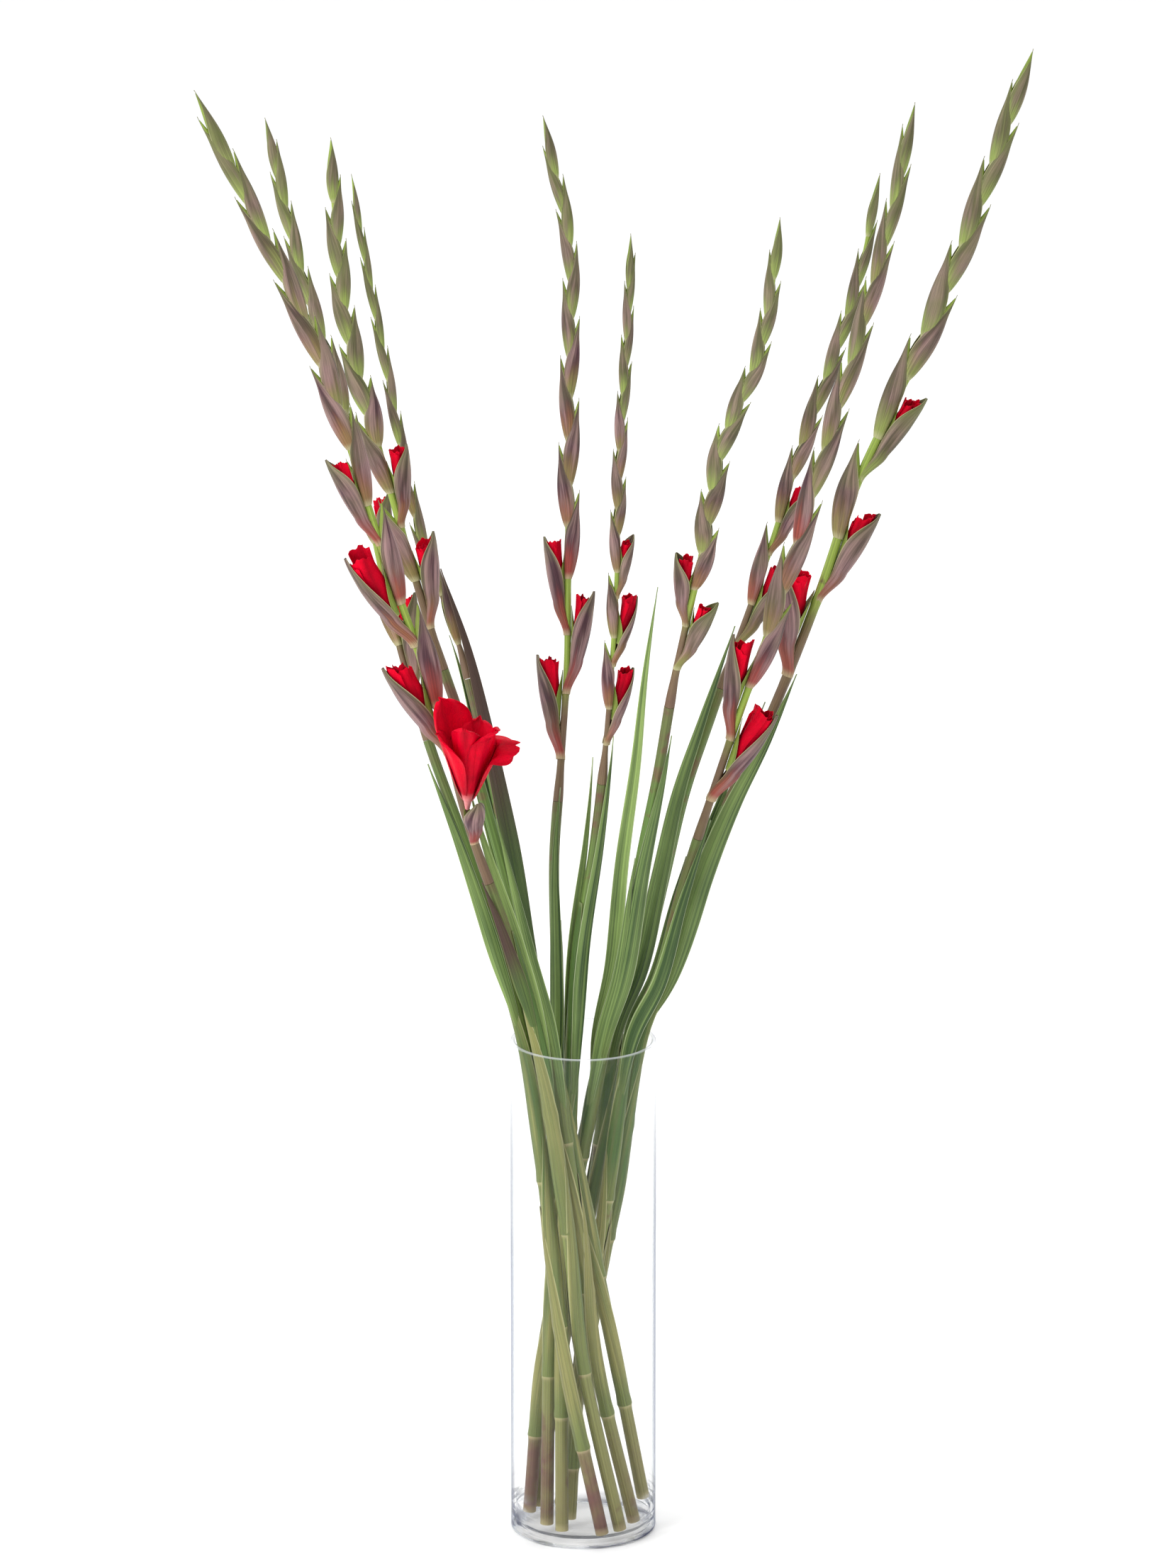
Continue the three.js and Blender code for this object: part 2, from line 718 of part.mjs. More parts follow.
function makeVase() {
  const inner = vaseRadius - vaseWall;
  const round = vaseRimRound;
  const profile = [
    [0, 0],
    [vaseRadius - vaseFootRound, 0],
    [vaseRadius, vaseFootRound],
    [vaseRadius, vaseHeight - round],
    [vaseRadius - round, vaseHeight],
    [inner + round, vaseHeight],
    [inner, vaseHeight - round],
    [inner, vaseFloor],
    [0, vaseFloor],
  ].map(([x, y]) => new THREE.Vector2(x, y));
  const geometry = new THREE.LatheGeometry(profile, vaseSegments);
  geometry.rotateX(Math.PI / 2);
  geometry.deleteAttribute('normal');
  geometry.deleteAttribute('uv');
  return mergeVertices(geometry);
}

const group = new THREE.Group();

function addNode(name, geometry, finish) {
  const look = finishes[finish];
  const material = new THREE.MeshStandardMaterial({ ...look, metalness: 0 });
  if (finish === 'glass') {
    material.transparent = true;
    material.opacity = 0.35;
  }
  const mesh = new THREE.Mesh(geometry, material);
  mesh.name = name;
  group.add(mesh);
}

addNode('vase', makeVase(), 'glass');

for (const plan of stems) {
  const stem = prepare(plan);
  let stalk = makeStalk(stem);
  for (const leaf of stem.leaves) stalk = stalk.add(makeLeaf(stem, leaf));
  stem.blooms.forEach((bloom, index) => {
    const bract = stem.bracts[bloom.bract];
    addNode(`floret_${stem.id}_${index + 1}`, geometryOf(makeFloret(stem, bract, bloom.size)), 'petal');
  });
  if (stem.id === flowerStem) {
    const base = beside(facing(stem), flowerAt, flowerForward, 0);
    addNode('open_flower', geometryOf(makeFlower(base)), 'petal');
  }
  addNode(`stalk_${stem.id}`, geometryOf(largest(stalk)), 'stalk');
  addNode(`spike_${stem.id}`, geometryOf(makeSpike(stem)), 'spike');
}

export default group;
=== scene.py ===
# Ten cut gladiolus stems in a clear glass cylinder vase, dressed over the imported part.
# Shapes are in millimetres until they become meshes. u runs along a surface, from 0 at its root to 1, and
# v across it, from -1 to 1
import math

import bpy
import numpy as np
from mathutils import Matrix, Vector


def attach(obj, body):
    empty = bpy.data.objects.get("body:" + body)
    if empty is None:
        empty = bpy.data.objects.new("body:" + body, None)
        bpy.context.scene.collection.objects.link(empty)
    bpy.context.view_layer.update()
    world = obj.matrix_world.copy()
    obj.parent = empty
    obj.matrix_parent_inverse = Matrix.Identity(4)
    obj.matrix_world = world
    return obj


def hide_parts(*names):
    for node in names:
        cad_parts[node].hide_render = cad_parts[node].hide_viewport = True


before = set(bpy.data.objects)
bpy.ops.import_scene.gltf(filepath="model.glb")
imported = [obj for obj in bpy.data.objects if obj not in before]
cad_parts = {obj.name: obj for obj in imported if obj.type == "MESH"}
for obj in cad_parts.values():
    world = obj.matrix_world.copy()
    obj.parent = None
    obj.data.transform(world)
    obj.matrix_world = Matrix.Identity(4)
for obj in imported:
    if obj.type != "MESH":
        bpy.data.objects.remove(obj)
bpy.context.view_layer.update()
scene = bpy.context.scene
print("frame loaded")

metresPerMm = 0.001
seatGap = 0.3  # between one piece and the next, in mm


# The value a share t of the way from a to b
def mix(a, b, t):
    return a + (b - a) * t


# Smooth step from 0 to 1: three times x squared, less twice x cubed
def smooth(x):
    x = np.clip(x, 0, 1)
    return x * x * (3 - 2 * x)


# Each vector over its own length
def unit(vectors):
    return vectors / np.linalg.norm(vectors, axis=-1, keepdims=True)


# A value from 0 to 1 that depends only on its arguments: the fraction of a large sine
def draw(*keys):
    total = sum((k + 1) * 12.9898 * (n + 1.7) for n, k in enumerate(keys))
    return math.modf(abs(math.sin(total) * 43758.5453))[0]


# Bell curves of height 1 added up, one a given way above each place
def bells(distance, places, width, above=0):
    return sum(np.exp(-((distance - place - above) / width) ** 2) for place in places)


# u down the rows and v along the columns
def sheetGrid(rows, columns):
    return np.linspace(0, 1, rows)[:, None], np.linspace(-1, 1, columns)[None, :]


# Even angles once round
def fullTurn(count):
    return np.linspace(0, 2 * math.pi, count, endpoint=False)[None, :]


# Points or vectors read off a curve, straight between its steps
def readAt(places, steps, values):
    return np.stack([np.interp(places, steps, values[:, k]) for k in range(3)], -1)


# Centripetal Catmull-Rom: each span is a cubic, and its end slopes weigh the neighbouring spans by the
# square roots of their lengths. It is then read at every millimetre of its length.
def curveThrough(route, perSpan=60):
    p = np.array(route, float)
    p = np.vstack([2 * p[0] - p[1], p, 2 * p[-1] - p[-2]])
    knot = np.sqrt(np.linalg.norm(np.diff(p, axis=0), axis=1))[:, None]
    d0, d1, d2 = knot[:-2], knot[1:-1], knot[2:]
    a, b, c, d = p[:-3], p[1:-2], p[2:-1], p[3:]
    s1 = ((b - a) / d0 - (c - a) / (d0 + d1) + (c - b) / d1) * d1
    s2 = ((c - b) / d1 - (d - b) / (d1 + d2) + (d - c) / d2) * d1
    t = np.linspace(0, 1, perSpan, endpoint=False)[None, :, None]
    b, c, s1, s2 = b[:, None], c[:, None], s1[:, None], s2[:, None]
    line = b + s1 * t + (3 * c - 3 * b - 2 * s1 - s2) * t ** 2 + (2 * b - 2 * c + s1 + s2) * t ** 3
    line = np.vstack([line.reshape(-1, 3), p[-2]])
    run = np.concatenate([[0], np.cumsum(np.linalg.norm(np.diff(line, axis=0), axis=1))])
    steps = np.linspace(0, run[-1], int(run[-1]) + 1)
    even = readAt(steps, run, line)
    return run[-1], steps, even, unit(np.gradient(even, steps, axis=0))


# A stem's form: how plump it is, where its lowest bract ends, the first and last step between bract tips,
# the side they start on, how far the ranks turn, how green the bracts are, the height of its lowest node
# and how purple its cut end is
planKeys = ("plump", "firstTip", "gaps", "firstSide", "rankTurn", "green", "node", "purpleFoot")

# Each stem's route from foot to tip, its form, its blooms as (bract, size), and its leaves as (from, to,
# side, splay, width, layer, turn, light), where a negative light is a purple leaf
stemPlans = {
    "01": {
        "route": [(29, -31, 9), (0, -38, 146), (-13, -44, 262), (-34, -32, 405), (-56, -32, 490),
            (-89, -32, 588), (-113, -34, 683), (-155, -38, 811), (-203, -44, 967), (-258, -50, 1093),
            (-296, -54, 1176)],
        "form": (1.25, 733, (47.5, 33), -1, 8, 0.0, 138, 0.1), "blooms": [(0, 0.9), (2, 1.05), (4, 0.4)],
        "leaves": [(330, 625, 1, 9, 15, -1, 15, 0.85), (412, 550, -1, 5, 12, 1, -10, -0.4)],
    },
    "02": {
        "route": [(15, -41, 9), (-13, -44, 146), (-27, -36, 262), (-46, -10, 405), (-66, 12, 471),
            (-92, 38, 551), (-120, 62, 625), (-144, 84, 700), (-187, 124, 882), (-221, 144, 988),
            (-243, 154, 1083), (-249, 156, 1110)],
        "form": (1.0, 767, (44, 23), 1, -12, 0.15, 62, 0.9), "blooms": [(0, 0.6), (2, 0.4)],
        "leaves": [(398, 637, -1, 5, 13, 1, 10, 0.6), (310, 560, 1, 4, 12, -1, 0, 0.7)],
    },
    "03": {
        "route": [(40, -11, 9), (10, -24, 146), (-4, -30, 262), (-26, -17, 405), (-46, -8, 480),
            (-68, 2, 564), (-93, 12, 653), (-116, 20, 722), (-154, 32, 856), (-183, 42, 969),
            (-193, 50, 1069), (-195, 54, 1116)],
        "form": (1.15, 818, (38, 23), 1, 5, 0.2, 91, 0.3), "blooms": [(0, 0.45), (2, 0.5)],
        "leaves": [(330, 590, 1, 5, 13, 1, -10, 0.5), (350, 640, -1, 4, 12, -1, 10, 0.75)],
    },
    "04": {
        "route": [(47.6, 5, 22), (25, -9, 146), (3, -17, 262), (-28, -4, 405), (-45, 18, 478),
            (-63, 42, 564), (-79, 62, 633), (-96, 80, 698), (-131, 100, 799), (-151, 114, 901),
            (-171, 126, 1007), (-181, 133, 1070)],
        "form": (0.6, 780, (34, 21), 1, 20, 0.25, 81, 0.2), "blooms": [], "offFloor": True,
        "leaves": [(415, 772, 1, 5, 17, 1, 5, -0.7), (400, 720, -1, 3, 13, -1, 0, 0.3)],
    },
    "05": {
        "route": [(-29, -15, 9), (-27, -13, 146), (-24, 10, 262), (-21, 24, 405), (-22, 52, 462),
            (-23, 84, 529), (-18, 112, 596), (-13, 140, 670), (-12, 170, 778), (-11, 194, 888),
            (-11, 212, 993), (-25, 222, 1065), (-32, 226, 1097)],
        "form": (1.0, 696, (52, 23), -1, -8, -0.05, 124, 0.8), "blooms": [(0, 0.8), (1, 0.6), (2, 0.5)],
        "leaves": [(320, 595, 1, 2, 12, 1, 0, 0.4)],
    },
    "06": {
        "route": [(-17, -31, 9), (-17, -22, 146), (-14, 0, 262), (-8, 2, 405), (-3, -10, 484),
            (9, -26, 572), (17, -42, 651), (25, -68, 777), (28, -92, 901), (34, -112, 1008),
            (36, -124, 1080)],
        "form": (0.75, 718, (32, 21), 1, 25, 0.0, 104, 0.2), "blooms": [(0, 0.85), (2, 0.95), (4, 0.4)],
        "leaves": [(320, 668, 1, 3, 13, 1, 0, 0.25), (340, 645, -1, 7, 11, -1, 10, 0.75)],
    },
    "07": {
        "route": [(-43, 14, 9), (-31, 14, 146), (-8, 18, 262), (17, 6, 405), (31, -6, 462), (44, -30, 556),
            (58, -52, 636), (70, -74, 716), (91, -104, 826), (106, -126, 915), (133, -146, 991),
            (145, -160, 1066), (148, -166, 1102)],
        "form": (1.0, 804, (34, 23), 1, -10, 0.25, 70, 1.0), "blooms": [(0, 0.4), (1, 0.4)],
        "leaves": [(340, 803, -1, 28, 14, -1, -15, 0.8), (350, 685, 1, 6, 16, 1, 5, 0.3),
            (320, 570, -1, 4, 12, 1, 0, 0.5)],
    },
    "08": {
        "route": [(-37, 28, 9), (-16, 28, 146), (6, 30, 262), (28, 26, 405), (46, 34, 450), (63, 50, 521),
            (79, 64, 587), (100, 76, 647), (139, 98, 753), (170, 114, 850), (213, 134, 976),
            (232, 146, 1068)],
        "form": (0.9, 785, (36, 23), 1, 12, 0.15, 84, 0.2), "blooms": [(0, 0.6), (2, 0.4)],
        "leaves": [(330, 735, -1, 8, 17, 1, 0, 0.3), (380, 745, 1, 5, 9, -1, 0, 0.5)],
    },
    "09": {
        "route": [(-11, -3, 9), (-2, 2, 146), (18, 10, 262), (37, 3, 405), (58, -2, 455), (76, -10, 527),
            (115, -26, 658), (149, -38, 763), (190, -50, 907), (218, -58, 1009), (239, -62, 1099),
            (252, -66, 1169)],
        "form": (1.1, 692, (53, 28), 1, -5, -0.05, 34, 0.1), "blooms": [(0, 1.0), (1, 0.8)],
        "leaves": [(330, 600, 1, 5, 14, 1, 0, 0.2), (350, 560, -1, 4, 12, -1, 0, 0.5)],
    },
    "10": {
        "route": [(-18, 30, 9), (4, 27, 146), (25, 28, 262), (46, 13, 405), (68, 10, 457), (90, 10, 533),
            (114, 12, 596), (141, 14, 652), (180, 18, 751), (213, 22, 850), (247, 26, 925), (284, 30, 1011),
            (322, 34, 1117), (346, 38, 1189)],
        "form": (1.4, 795, (64, 28), -1, 6, 0.2, 112, 0.2), "blooms": [(0, 0.8), (1, 0.4), (3, 0.3)],
        "leaves": [(400, 722, 1, 5, 20, 1, 0, 0.45), (360, 690, -1, 7, 10, -1, 0, 0.25),
            (400, 600, 1, 6, 13, -1, 0, 0.4)],
    },
}

stalkSettings = {
    "footRadius": 5.2, "scapeRadius": 4.0, "rachisRadius": 2.9, "scapeLength": 34.0,
    "nodeCount": 3, "nodeStep": 112.0, "nodeChange": 24.0, "nodeSwell": 0.6, "nodeWidth": 3.0,
    "nodeBand": 6.0, "grooveDepth": 0.25, "grooveAbove": 4.5, "grooveWidth": 1.2, "ringWidth": 2.2,
    "purpleBand": 110.0, "around": 24, "step": 7.0, "ribs": 9, "ribDepth": 0.1,
}


# The stem's curve, nodes, bracts and the way its ranks face. Its foot is raised by its radius times the
# sine of its tilt, so that its lower edge is just above the glass
def prepareStem(name, plan):
    s = stalkSettings
    number = int(name)
    plan = dict(plan, **dict(zip(planKeys, plan["form"])))
    route = [list(point) for point in plan["route"]]
    rise = np.subtract(route[1], route[0])
    tilt = math.acos(rise[2] / np.linalg.norm(rise))
    if not plan.get("offFloor"):
        route[0][2] = vaseSettings["floor"] + seatGap + s["footRadius"] * math.sin(tilt)
    length, steps, line, tangents = curveThrough(route)
    turn = math.radians(plan["rankTurn"])
    stem = dict(plan, name=name, number=number, length=length, steps=steps, line=line,
                tangents=tangents, rank=np.array([math.cos(turn), math.sin(turn), 0.0]))
    stem["nodes"] = [plan["node"] + k * s["nodeStep"] + s["nodeChange"] * (draw(number, k, 5) - 0.5)
                     for k in range(s["nodeCount"])]
    stem["bracts"] = placeBracts(stem)
    return stem


bractSettings = {
    "reach": 1.85, "upperReach": 2.2, "longest": 78.0, "shortest": 24.0, "gapFall": 0.6, "lastGap": 0.6,
    "clasp": 0.1, "depth": 8.4, "thickness": 5.4, "lean": 8.5, "leanPower": 1.25, "standOff": 1.7,
    "collar": 3.2, "fullness": 0.8, "point": 3.6, "tipShare": 0.5, "green": 0.75, "greenPower": 1.4,
    "sheet": 0.5, "rows": 24, "rowPower": 0.92, "lastRow": 0.997, "columns": 15,
    "wrap": 172.0, "tipWrap": 40.0, "wrapPower": 2.4, "flare": 0.05, "keel": 0.16, "bend": 1.5,
    "budEnd": 0.96, "budShare": 0.88, "budSides": 14,
}


# Steps from tip to tip shrink with a power of the share of the spike, and a bract is about two long.
# It clasps the stem further down, by a share of its length, unless the one below on its side is a bloom
def placeBracts(stem):
    s = bractSettings
    low, high = stem["gaps"]
    blooms = dict(stem["blooms"])
    bracts = []
    tip, side = stem["firstTip"], stem["firstSide"]
    while tip < stem["length"] - high * s["lastGap"]:
        share = (tip - stem["firstTip"]) / (stem["length"] - stem["firstTip"])
        gap = mix(low, high, share ** s["gapFall"])
        steps = mix(s["reach"], s["upperReach"], share * share)
        bracts.append({
            "tip": tip, "side": side, "reach": min(max(steps * gap, s["shortest"]), s["longest"]),
            "size": stem["plump"] * mix(1, s["tipShare"], share), "share": share,
            "bloom": blooms.get(len(bracts)), "afterBloom": len(bracts) - 1 in blooms,
            "clasp": 0 if len(bracts) - 2 in blooms else s["clasp"],
        })
        tip += gap
        side = -side
    bracts.append({"tip": stem["length"], "side": 0, "reach": s["upperReach"] * high, "share": 1.0,
                   "size": stem["plump"] * s["tipShare"], "bloom": None, "afterBloom": False, "clasp": 0})
    return bracts


# The point beside the stem, across its ranks and in depth, at a distance along it
def beside(stem, distance, across, depth):
    distance, across, depth = np.broadcast_arrays(*[np.asarray(x, float) for x in (distance, across, depth)])
    inside = np.clip(distance, 0, stem["length"])
    point = readAt(inside, stem["steps"], stem["line"])
    along = unit(readAt(inside, stem["steps"], stem["tangents"]))
    side = unit(stem["rank"] - along * (along @ stem["rank"])[..., None])
    away = np.cross(along, side)
    return (point + side * across[..., None] + away * depth[..., None]
            + along * (distance - inside)[..., None])


# The scape starts its own length below the foot of the lowest bract
def scapeStart(stem):
    lowest = flowerSettings["bract"] if stem["name"] == flowerSettings["stem"] else stem["bracts"][0]
    return lowest["tip"] - lowest["reach"] - stalkSettings["scapeLength"]


# Foot to scape by a smooth step, then to the rachis, with a bell-shaped swelling at every node
def stemRadius(stem, distance):
    s = stalkSettings
    distance = np.asarray(distance, float)
    scape = scapeStart(stem)
    swell = bells(distance, stem["nodes"], s["nodeWidth"]) * s["nodeSwell"]
    lower = mix(s["footRadius"], s["scapeRadius"], smooth(distance / scape)) + swell
    share = np.clip((distance - scape) / (stem["length"] - scape), 0, 1)
    upper = s["rachisRadius"] * stem["plump"] * mix(1, bractSettings["tipShare"], share)
    return mix(lower, upper, smooth((distance - scape) / s["scapeLength"]))


# A grid of points [rows, around, 3], closed round its second side. A fan cap closes an end round its
# middle, and a zip cap joins the two halves of a flat ring. tone is one colour for each point.
def patch(points, tone, finish=0, caps=("fan", "fan")):
    rows, around = points.shape[:2]
    tone = np.broadcast_to(np.stack(np.broadcast_arrays(*tone), -1), (rows, around, 4))
    return {"points": points, "tone": tone, "finish": finish, "caps": caps}


# The same, for a thin sheet: front and back lie half the thickness along the normal, thinner at the edges.
# The sheet's points run [rows, columns], and its tone has a value for each.
def sheetPatch(points, tone, thickness, finish=0, edge=0.35):
    rows, columns = points.shape[:2]
    lengthwise = np.gradient(points, axis=0)
    widthwise = np.gradient(points, axis=1)
    normal = np.cross(widthwise, lengthwise)
    size = np.linalg.norm(normal, axis=-1, keepdims=True)
    normal = np.where(size > 1e-9, normal / np.maximum(size, 1e-9), 0)
    v = np.linspace(-1, 1, columns)
    half = thickness / 2 * np.maximum(np.sqrt(1 - (1 - edge ** 2) * v ** 8), edge)[None, :, None]
    ring = np.concatenate([points + normal * half, (points - normal * half)[:, ::-1]], axis=1)
    tone = [np.broadcast_to(t, (rows, columns)) for t in tone]
    tone = [np.concatenate([t, t[:, ::-1]], axis=1) for t in tone]
    return patch(ring, tone, finish, ("zip", "zip"))


# Quads between rings, and the caps. The triple products of the corners add up to six times the volume, and
# a patch where they come out negative is turned over
def patchFaces(item, start):
    rows, around = item["points"].shape[:2]
    index = start + np.arange(rows * around).reshape(rows, around)
    turned = np.roll(index, -1, axis=1)
    quads = [np.stack([index[:-1], turned[:-1], turned[1:], index[1:]], -1).reshape(-1, 4)]
    triangles, extra = [], []
    for end, row in enumerate((0, rows - 1)):
        if item["caps"][end] == "zip":
            half = around // 2
            front, back = index[row, :half], index[row, half:][::-1]
            strip = np.stack([front[:-1], front[1:], back[1:], back[:-1]], -1)
            quads.append(strip if end else strip[:, ::-1])
        else:
            middle = start + rows * around + len(extra)
            extra.append(row)
            fan = np.stack([index[row], turned[row], np.full(around, middle)], -1)
            triangles.append(fan if end else fan[:, ::-1])
    points = [item["points"].reshape(-1, 3)] + [item["points"][row].mean(0, keepdims=True) for row in extra]
    tones = [item["tone"].reshape(-1, 4)] + [item["tone"][row].mean(0, keepdims=True) for row in extra]
    quads = np.concatenate(quads)
    triangles = np.concatenate(triangles) if triangles else np.zeros((0, 3), int)
    points = np.concatenate(points)
    corners = np.concatenate([quads[:, [0, 1, 2]], quads[:, [0, 2, 3]], triangles]) - start
    a, b, c = points[corners[:, 0]], points[corners[:, 1]], points[corners[:, 2]]
    if np.einsum("ij,ij->i", a, np.cross(b, c)).sum() < 0:
        quads, triangles = quads[:, ::-1], triangles[:, ::-1]
    return points, np.concatenate(tones), quads, triangles


def addObject(name, data):
    thing = bpy.data.objects.new(name, data)
    scene.collection.objects.link(thing)
    return thing


# Puts patches into one mesh that stands for a CAD node: all their quads, then all their triangles
def makePiece(name, patches, finishes, nodeName, sharp=55):
    shapes = []
    start = 0
    for item in patches:
        shapes.append(patchFaces(item, start))
        start += len(shapes[-1][0])
    points, tones, quads, triangles = zip(*shapes)
    finishOf = [np.full(len(faces), item["finish"]) for kind in (quads, triangles)
                for faces, item in zip(kind, patches)]
    mesh = bpy.data.meshes.new(name)
    mesh.from_pydata((np.concatenate(points) * metresPerMm).tolist(), [],
                     np.concatenate(quads).tolist() + np.concatenate(triangles).tolist())
    mesh.polygons.foreach_set("material_index", np.concatenate(finishOf).astype(np.int32))
    mesh.shade_smooth()
    mesh.set_sharp_from_angle(angle=math.radians(sharp))
    layer = mesh.attributes.new("tone", "FLOAT_COLOR", "POINT")
    layer.data.foreach_set("color", np.concatenate(tones).astype(np.float32).ravel())
    for finish in finishes:
        mesh.materials.append(finish)
    mesh.update()
    piece = addObject(name, mesh)
    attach(piece, "root")
    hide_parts(nodeName)


# A colour as it is picked on a screen, made linear
def srgb(r, g, b):
    values = [c / 255 for c in (r, g, b)]
    return tuple([c / 12.92 if c <= 0.04045 else ((c + 0.055) / 1.055) ** 2.4 for c in values] + [1.0])


making = {"tree": None}  # the node tree of the finish that is being made


def newNode(kind):
    return making["tree"].nodes.new(kind)


# Gives a socket a value, which may be a number, a colour or another node's output
def feed(socket, value):
    if isinstance(value, bpy.types.NodeSocket):
        socket.id_data.links.new(value, socket)
    else:
        socket.default_value = value


def setInputs(node, values):
    for key, value in values.items():
        node.inputs[key].default_value = value


def maths(operation, a, b=0.0, clamp=False):
    node = newNode("ShaderNodeMath")
    node.operation = operation
    node.use_clamp = clamp
    feed(node.inputs[0], a)
    feed(node.inputs[1], b)
    return node.outputs[0]


def times(a, b, clamp=False):
    return maths("MULTIPLY", a, b, clamp)


def plus(a, b, clamp=False):
    return maths("ADD", a, b, clamp)


def minus(a, b, clamp=False):
    return maths("SUBTRACT", a, b, clamp)


# Smooth step of a value, 0 at low and 1 at high
def between(value, low, high):
    node = newNode("ShaderNodeMapRange")
    node.interpolation_type = "SMOOTHSTEP"
    feed(node.inputs["Value"], value)
    setInputs(node, {"From Min": low, "From Max": high})
    return node.outputs["Result"]


def blend(factor, a, b, kind="MIX"):
    node = newNode("ShaderNodeMix")
    node.data_type = "RGBA"
    node.blend_type = kind
    for socket, value in ((0, factor), (6, a), (7, b)):
        feed(node.inputs[socket], value)
    return node.outputs[2]


# Blends a colour in as a value goes from low to high
def tint(base, colour, value, low, high, strength):
    return blend(times(between(value, low, high), strength), base, colour)


def cloud(vector, scale, detail=3.0, roughness=0.55):
    node = newNode("ShaderNodeTexNoise")
    feed(node.inputs["Vector"], vector)
    setInputs(node, {"Scale": scale, "Detail": detail, "Roughness": roughness})
    return node.outputs["Fac"]


# Noise over three values, each times its factor
def streaked(values, factors, detail=3.0):
    node = newNode("ShaderNodeCombineXYZ")
    for socket, value, factor in zip(node.inputs, values, factors):
        feed(socket, times(value, factor))
    return cloud(node.outputs[0], 1.0, detail)


# Scales a value about a half, for contrast in a noise
def swing(value, gain):
    return times(minus(value, 0.5), gain)


# A new material, with its Principled shader and the piece's tone as four values
def startFinish(name):
    finish = bpy.data.materials.new(name)
    finish.use_nodes = True
    making["tree"] = finish.node_tree
    shader = finish.node_tree.nodes["Principled BSDF"]
    shader.inputs["Specular IOR Level"].default_value = 0.35
    attribute = newNode("ShaderNodeAttribute")
    attribute.attribute_name = "tone"
    split = newNode("ShaderNodeSeparateColor")
    feed(split.inputs[0], attribute.outputs["Color"])
    place = newNode("ShaderNodeTexCoord").outputs["Object"]
    return finish, shader, place, list(split.outputs) + [attribute.outputs["Alpha"]]


# Gives the colour, a roughness of least plus a noise times gain, and bumps from the veins
def endFinish(shader, base, least, noise, gain, lines, strength, depth=0.0007):
    feed(shader.inputs["Base Color"], base)
    feed(shader.inputs["Roughness"], plus(least, times(noise, gain)))
    bump = newNode("ShaderNodeBump")
    setInputs(bump, {"Strength": strength, "Distance": depth})
    feed(bump.inputs["Height"], lines)
    feed(shader.inputs["Normal"], bump.outputs[0])


# Darkens a colour by fine veins along u: noise read across at a given count
def veined(base, across, along, seed, count, depth):
    lines = streaked((across, along, seed), (count, 1.4, 40.0))
    grey = blend(between(lines, 0.3, 0.7), (1 - depth, 1 - depth, 1 - depth, 1), (1, 1, 1, 1))
    return blend(1.0, base, grey, "MULTIPLY"), lines


# Bract: mauve with fine veins and paler streaks, which are partly paler tissue and partly a painted sheen
# highlight, olive towards its tip and margins, which end in a pale line that is partly the margin's own
# colour and partly painted rim light, and rust at its base, or lime on a green one. Tone: along, towards the
# margin, greenness, draw
def bractFinish(name, body, pale, green, rust, margin, lime):
    finish, shader, place, (along, edge, ownGreen, chance) = startFinish(name)
    blotch = cloud(place, 38.0, 2.0)
    streaks = streaked((edge, along, chance), (3.2, 1.1, 90.0))
    shifted = plus(along, swing(streaks, 0.55))
    limey = times(ownGreen, 1.6, True)
    # The pale streaks are partly paler tissue and partly a painted sheen highlight
    base = tint(body, pale, streaks, 0.37, 0.66, 0.68)
    base = tint(base, rust, shifted, 0.46, 0.06, minus(0.9, limey, True))
    greenness = plus(times(between(shifted, 0.6, 1.05), 0.5), times(ownGreen, 0.85))
    greenness = plus(greenness, times(between(edge, 0.7, 1.0), 0.3))
    greenness = plus(greenness, swing(blotch, 1.1), True)
    base = blend(times(greenness, 0.85), base, green)
    base = tint(base, lime, shifted, 0.42, 0.0, limey)
    base = tint(base, margin, along, 0.09, 0.0, 0.6)
    base, lines = veined(base, edge, along, chance, 22.0, 0.42)
    # The pale margin line is partly the margin's colour and partly painted rim light
    base = tint(base, margin, edge, 0.95, 1.0, 0.55)
    endFinish(shader, base, 0.36, blotch, 0.2, lines, 0.7)
    return finish


# Stem skin: fibres that run up the stem, with darker patches, a ring at each node and a purple foot.
# Tone: along, round, node, purple
def skinFinish(name, low, high, patches, patchiness, ring, purple):
    finish, shader, place, (along, turn, node, foot) = startFinish(name)
    blotch = cloud(place, 42.0, 3.0, 0.6)
    base = blend(along, low, high)
    base = tint(base, patches, blotch, 0.62 - patchiness, 0.72 - patchiness, 0.8)
    footMarks = plus(foot, times(foot, swing(blotch, 3.0)), True)
    base = blend(times(footMarks, 0.85), base, purple)
    base, lines = veined(base, turn, along, 0.3, 30.0, 0.42)
    base = blend(times(node, 0.7), base, ring)
    endFinish(shader, base, 0.38, blotch, 0.16, lines, 0.5)
    return finish


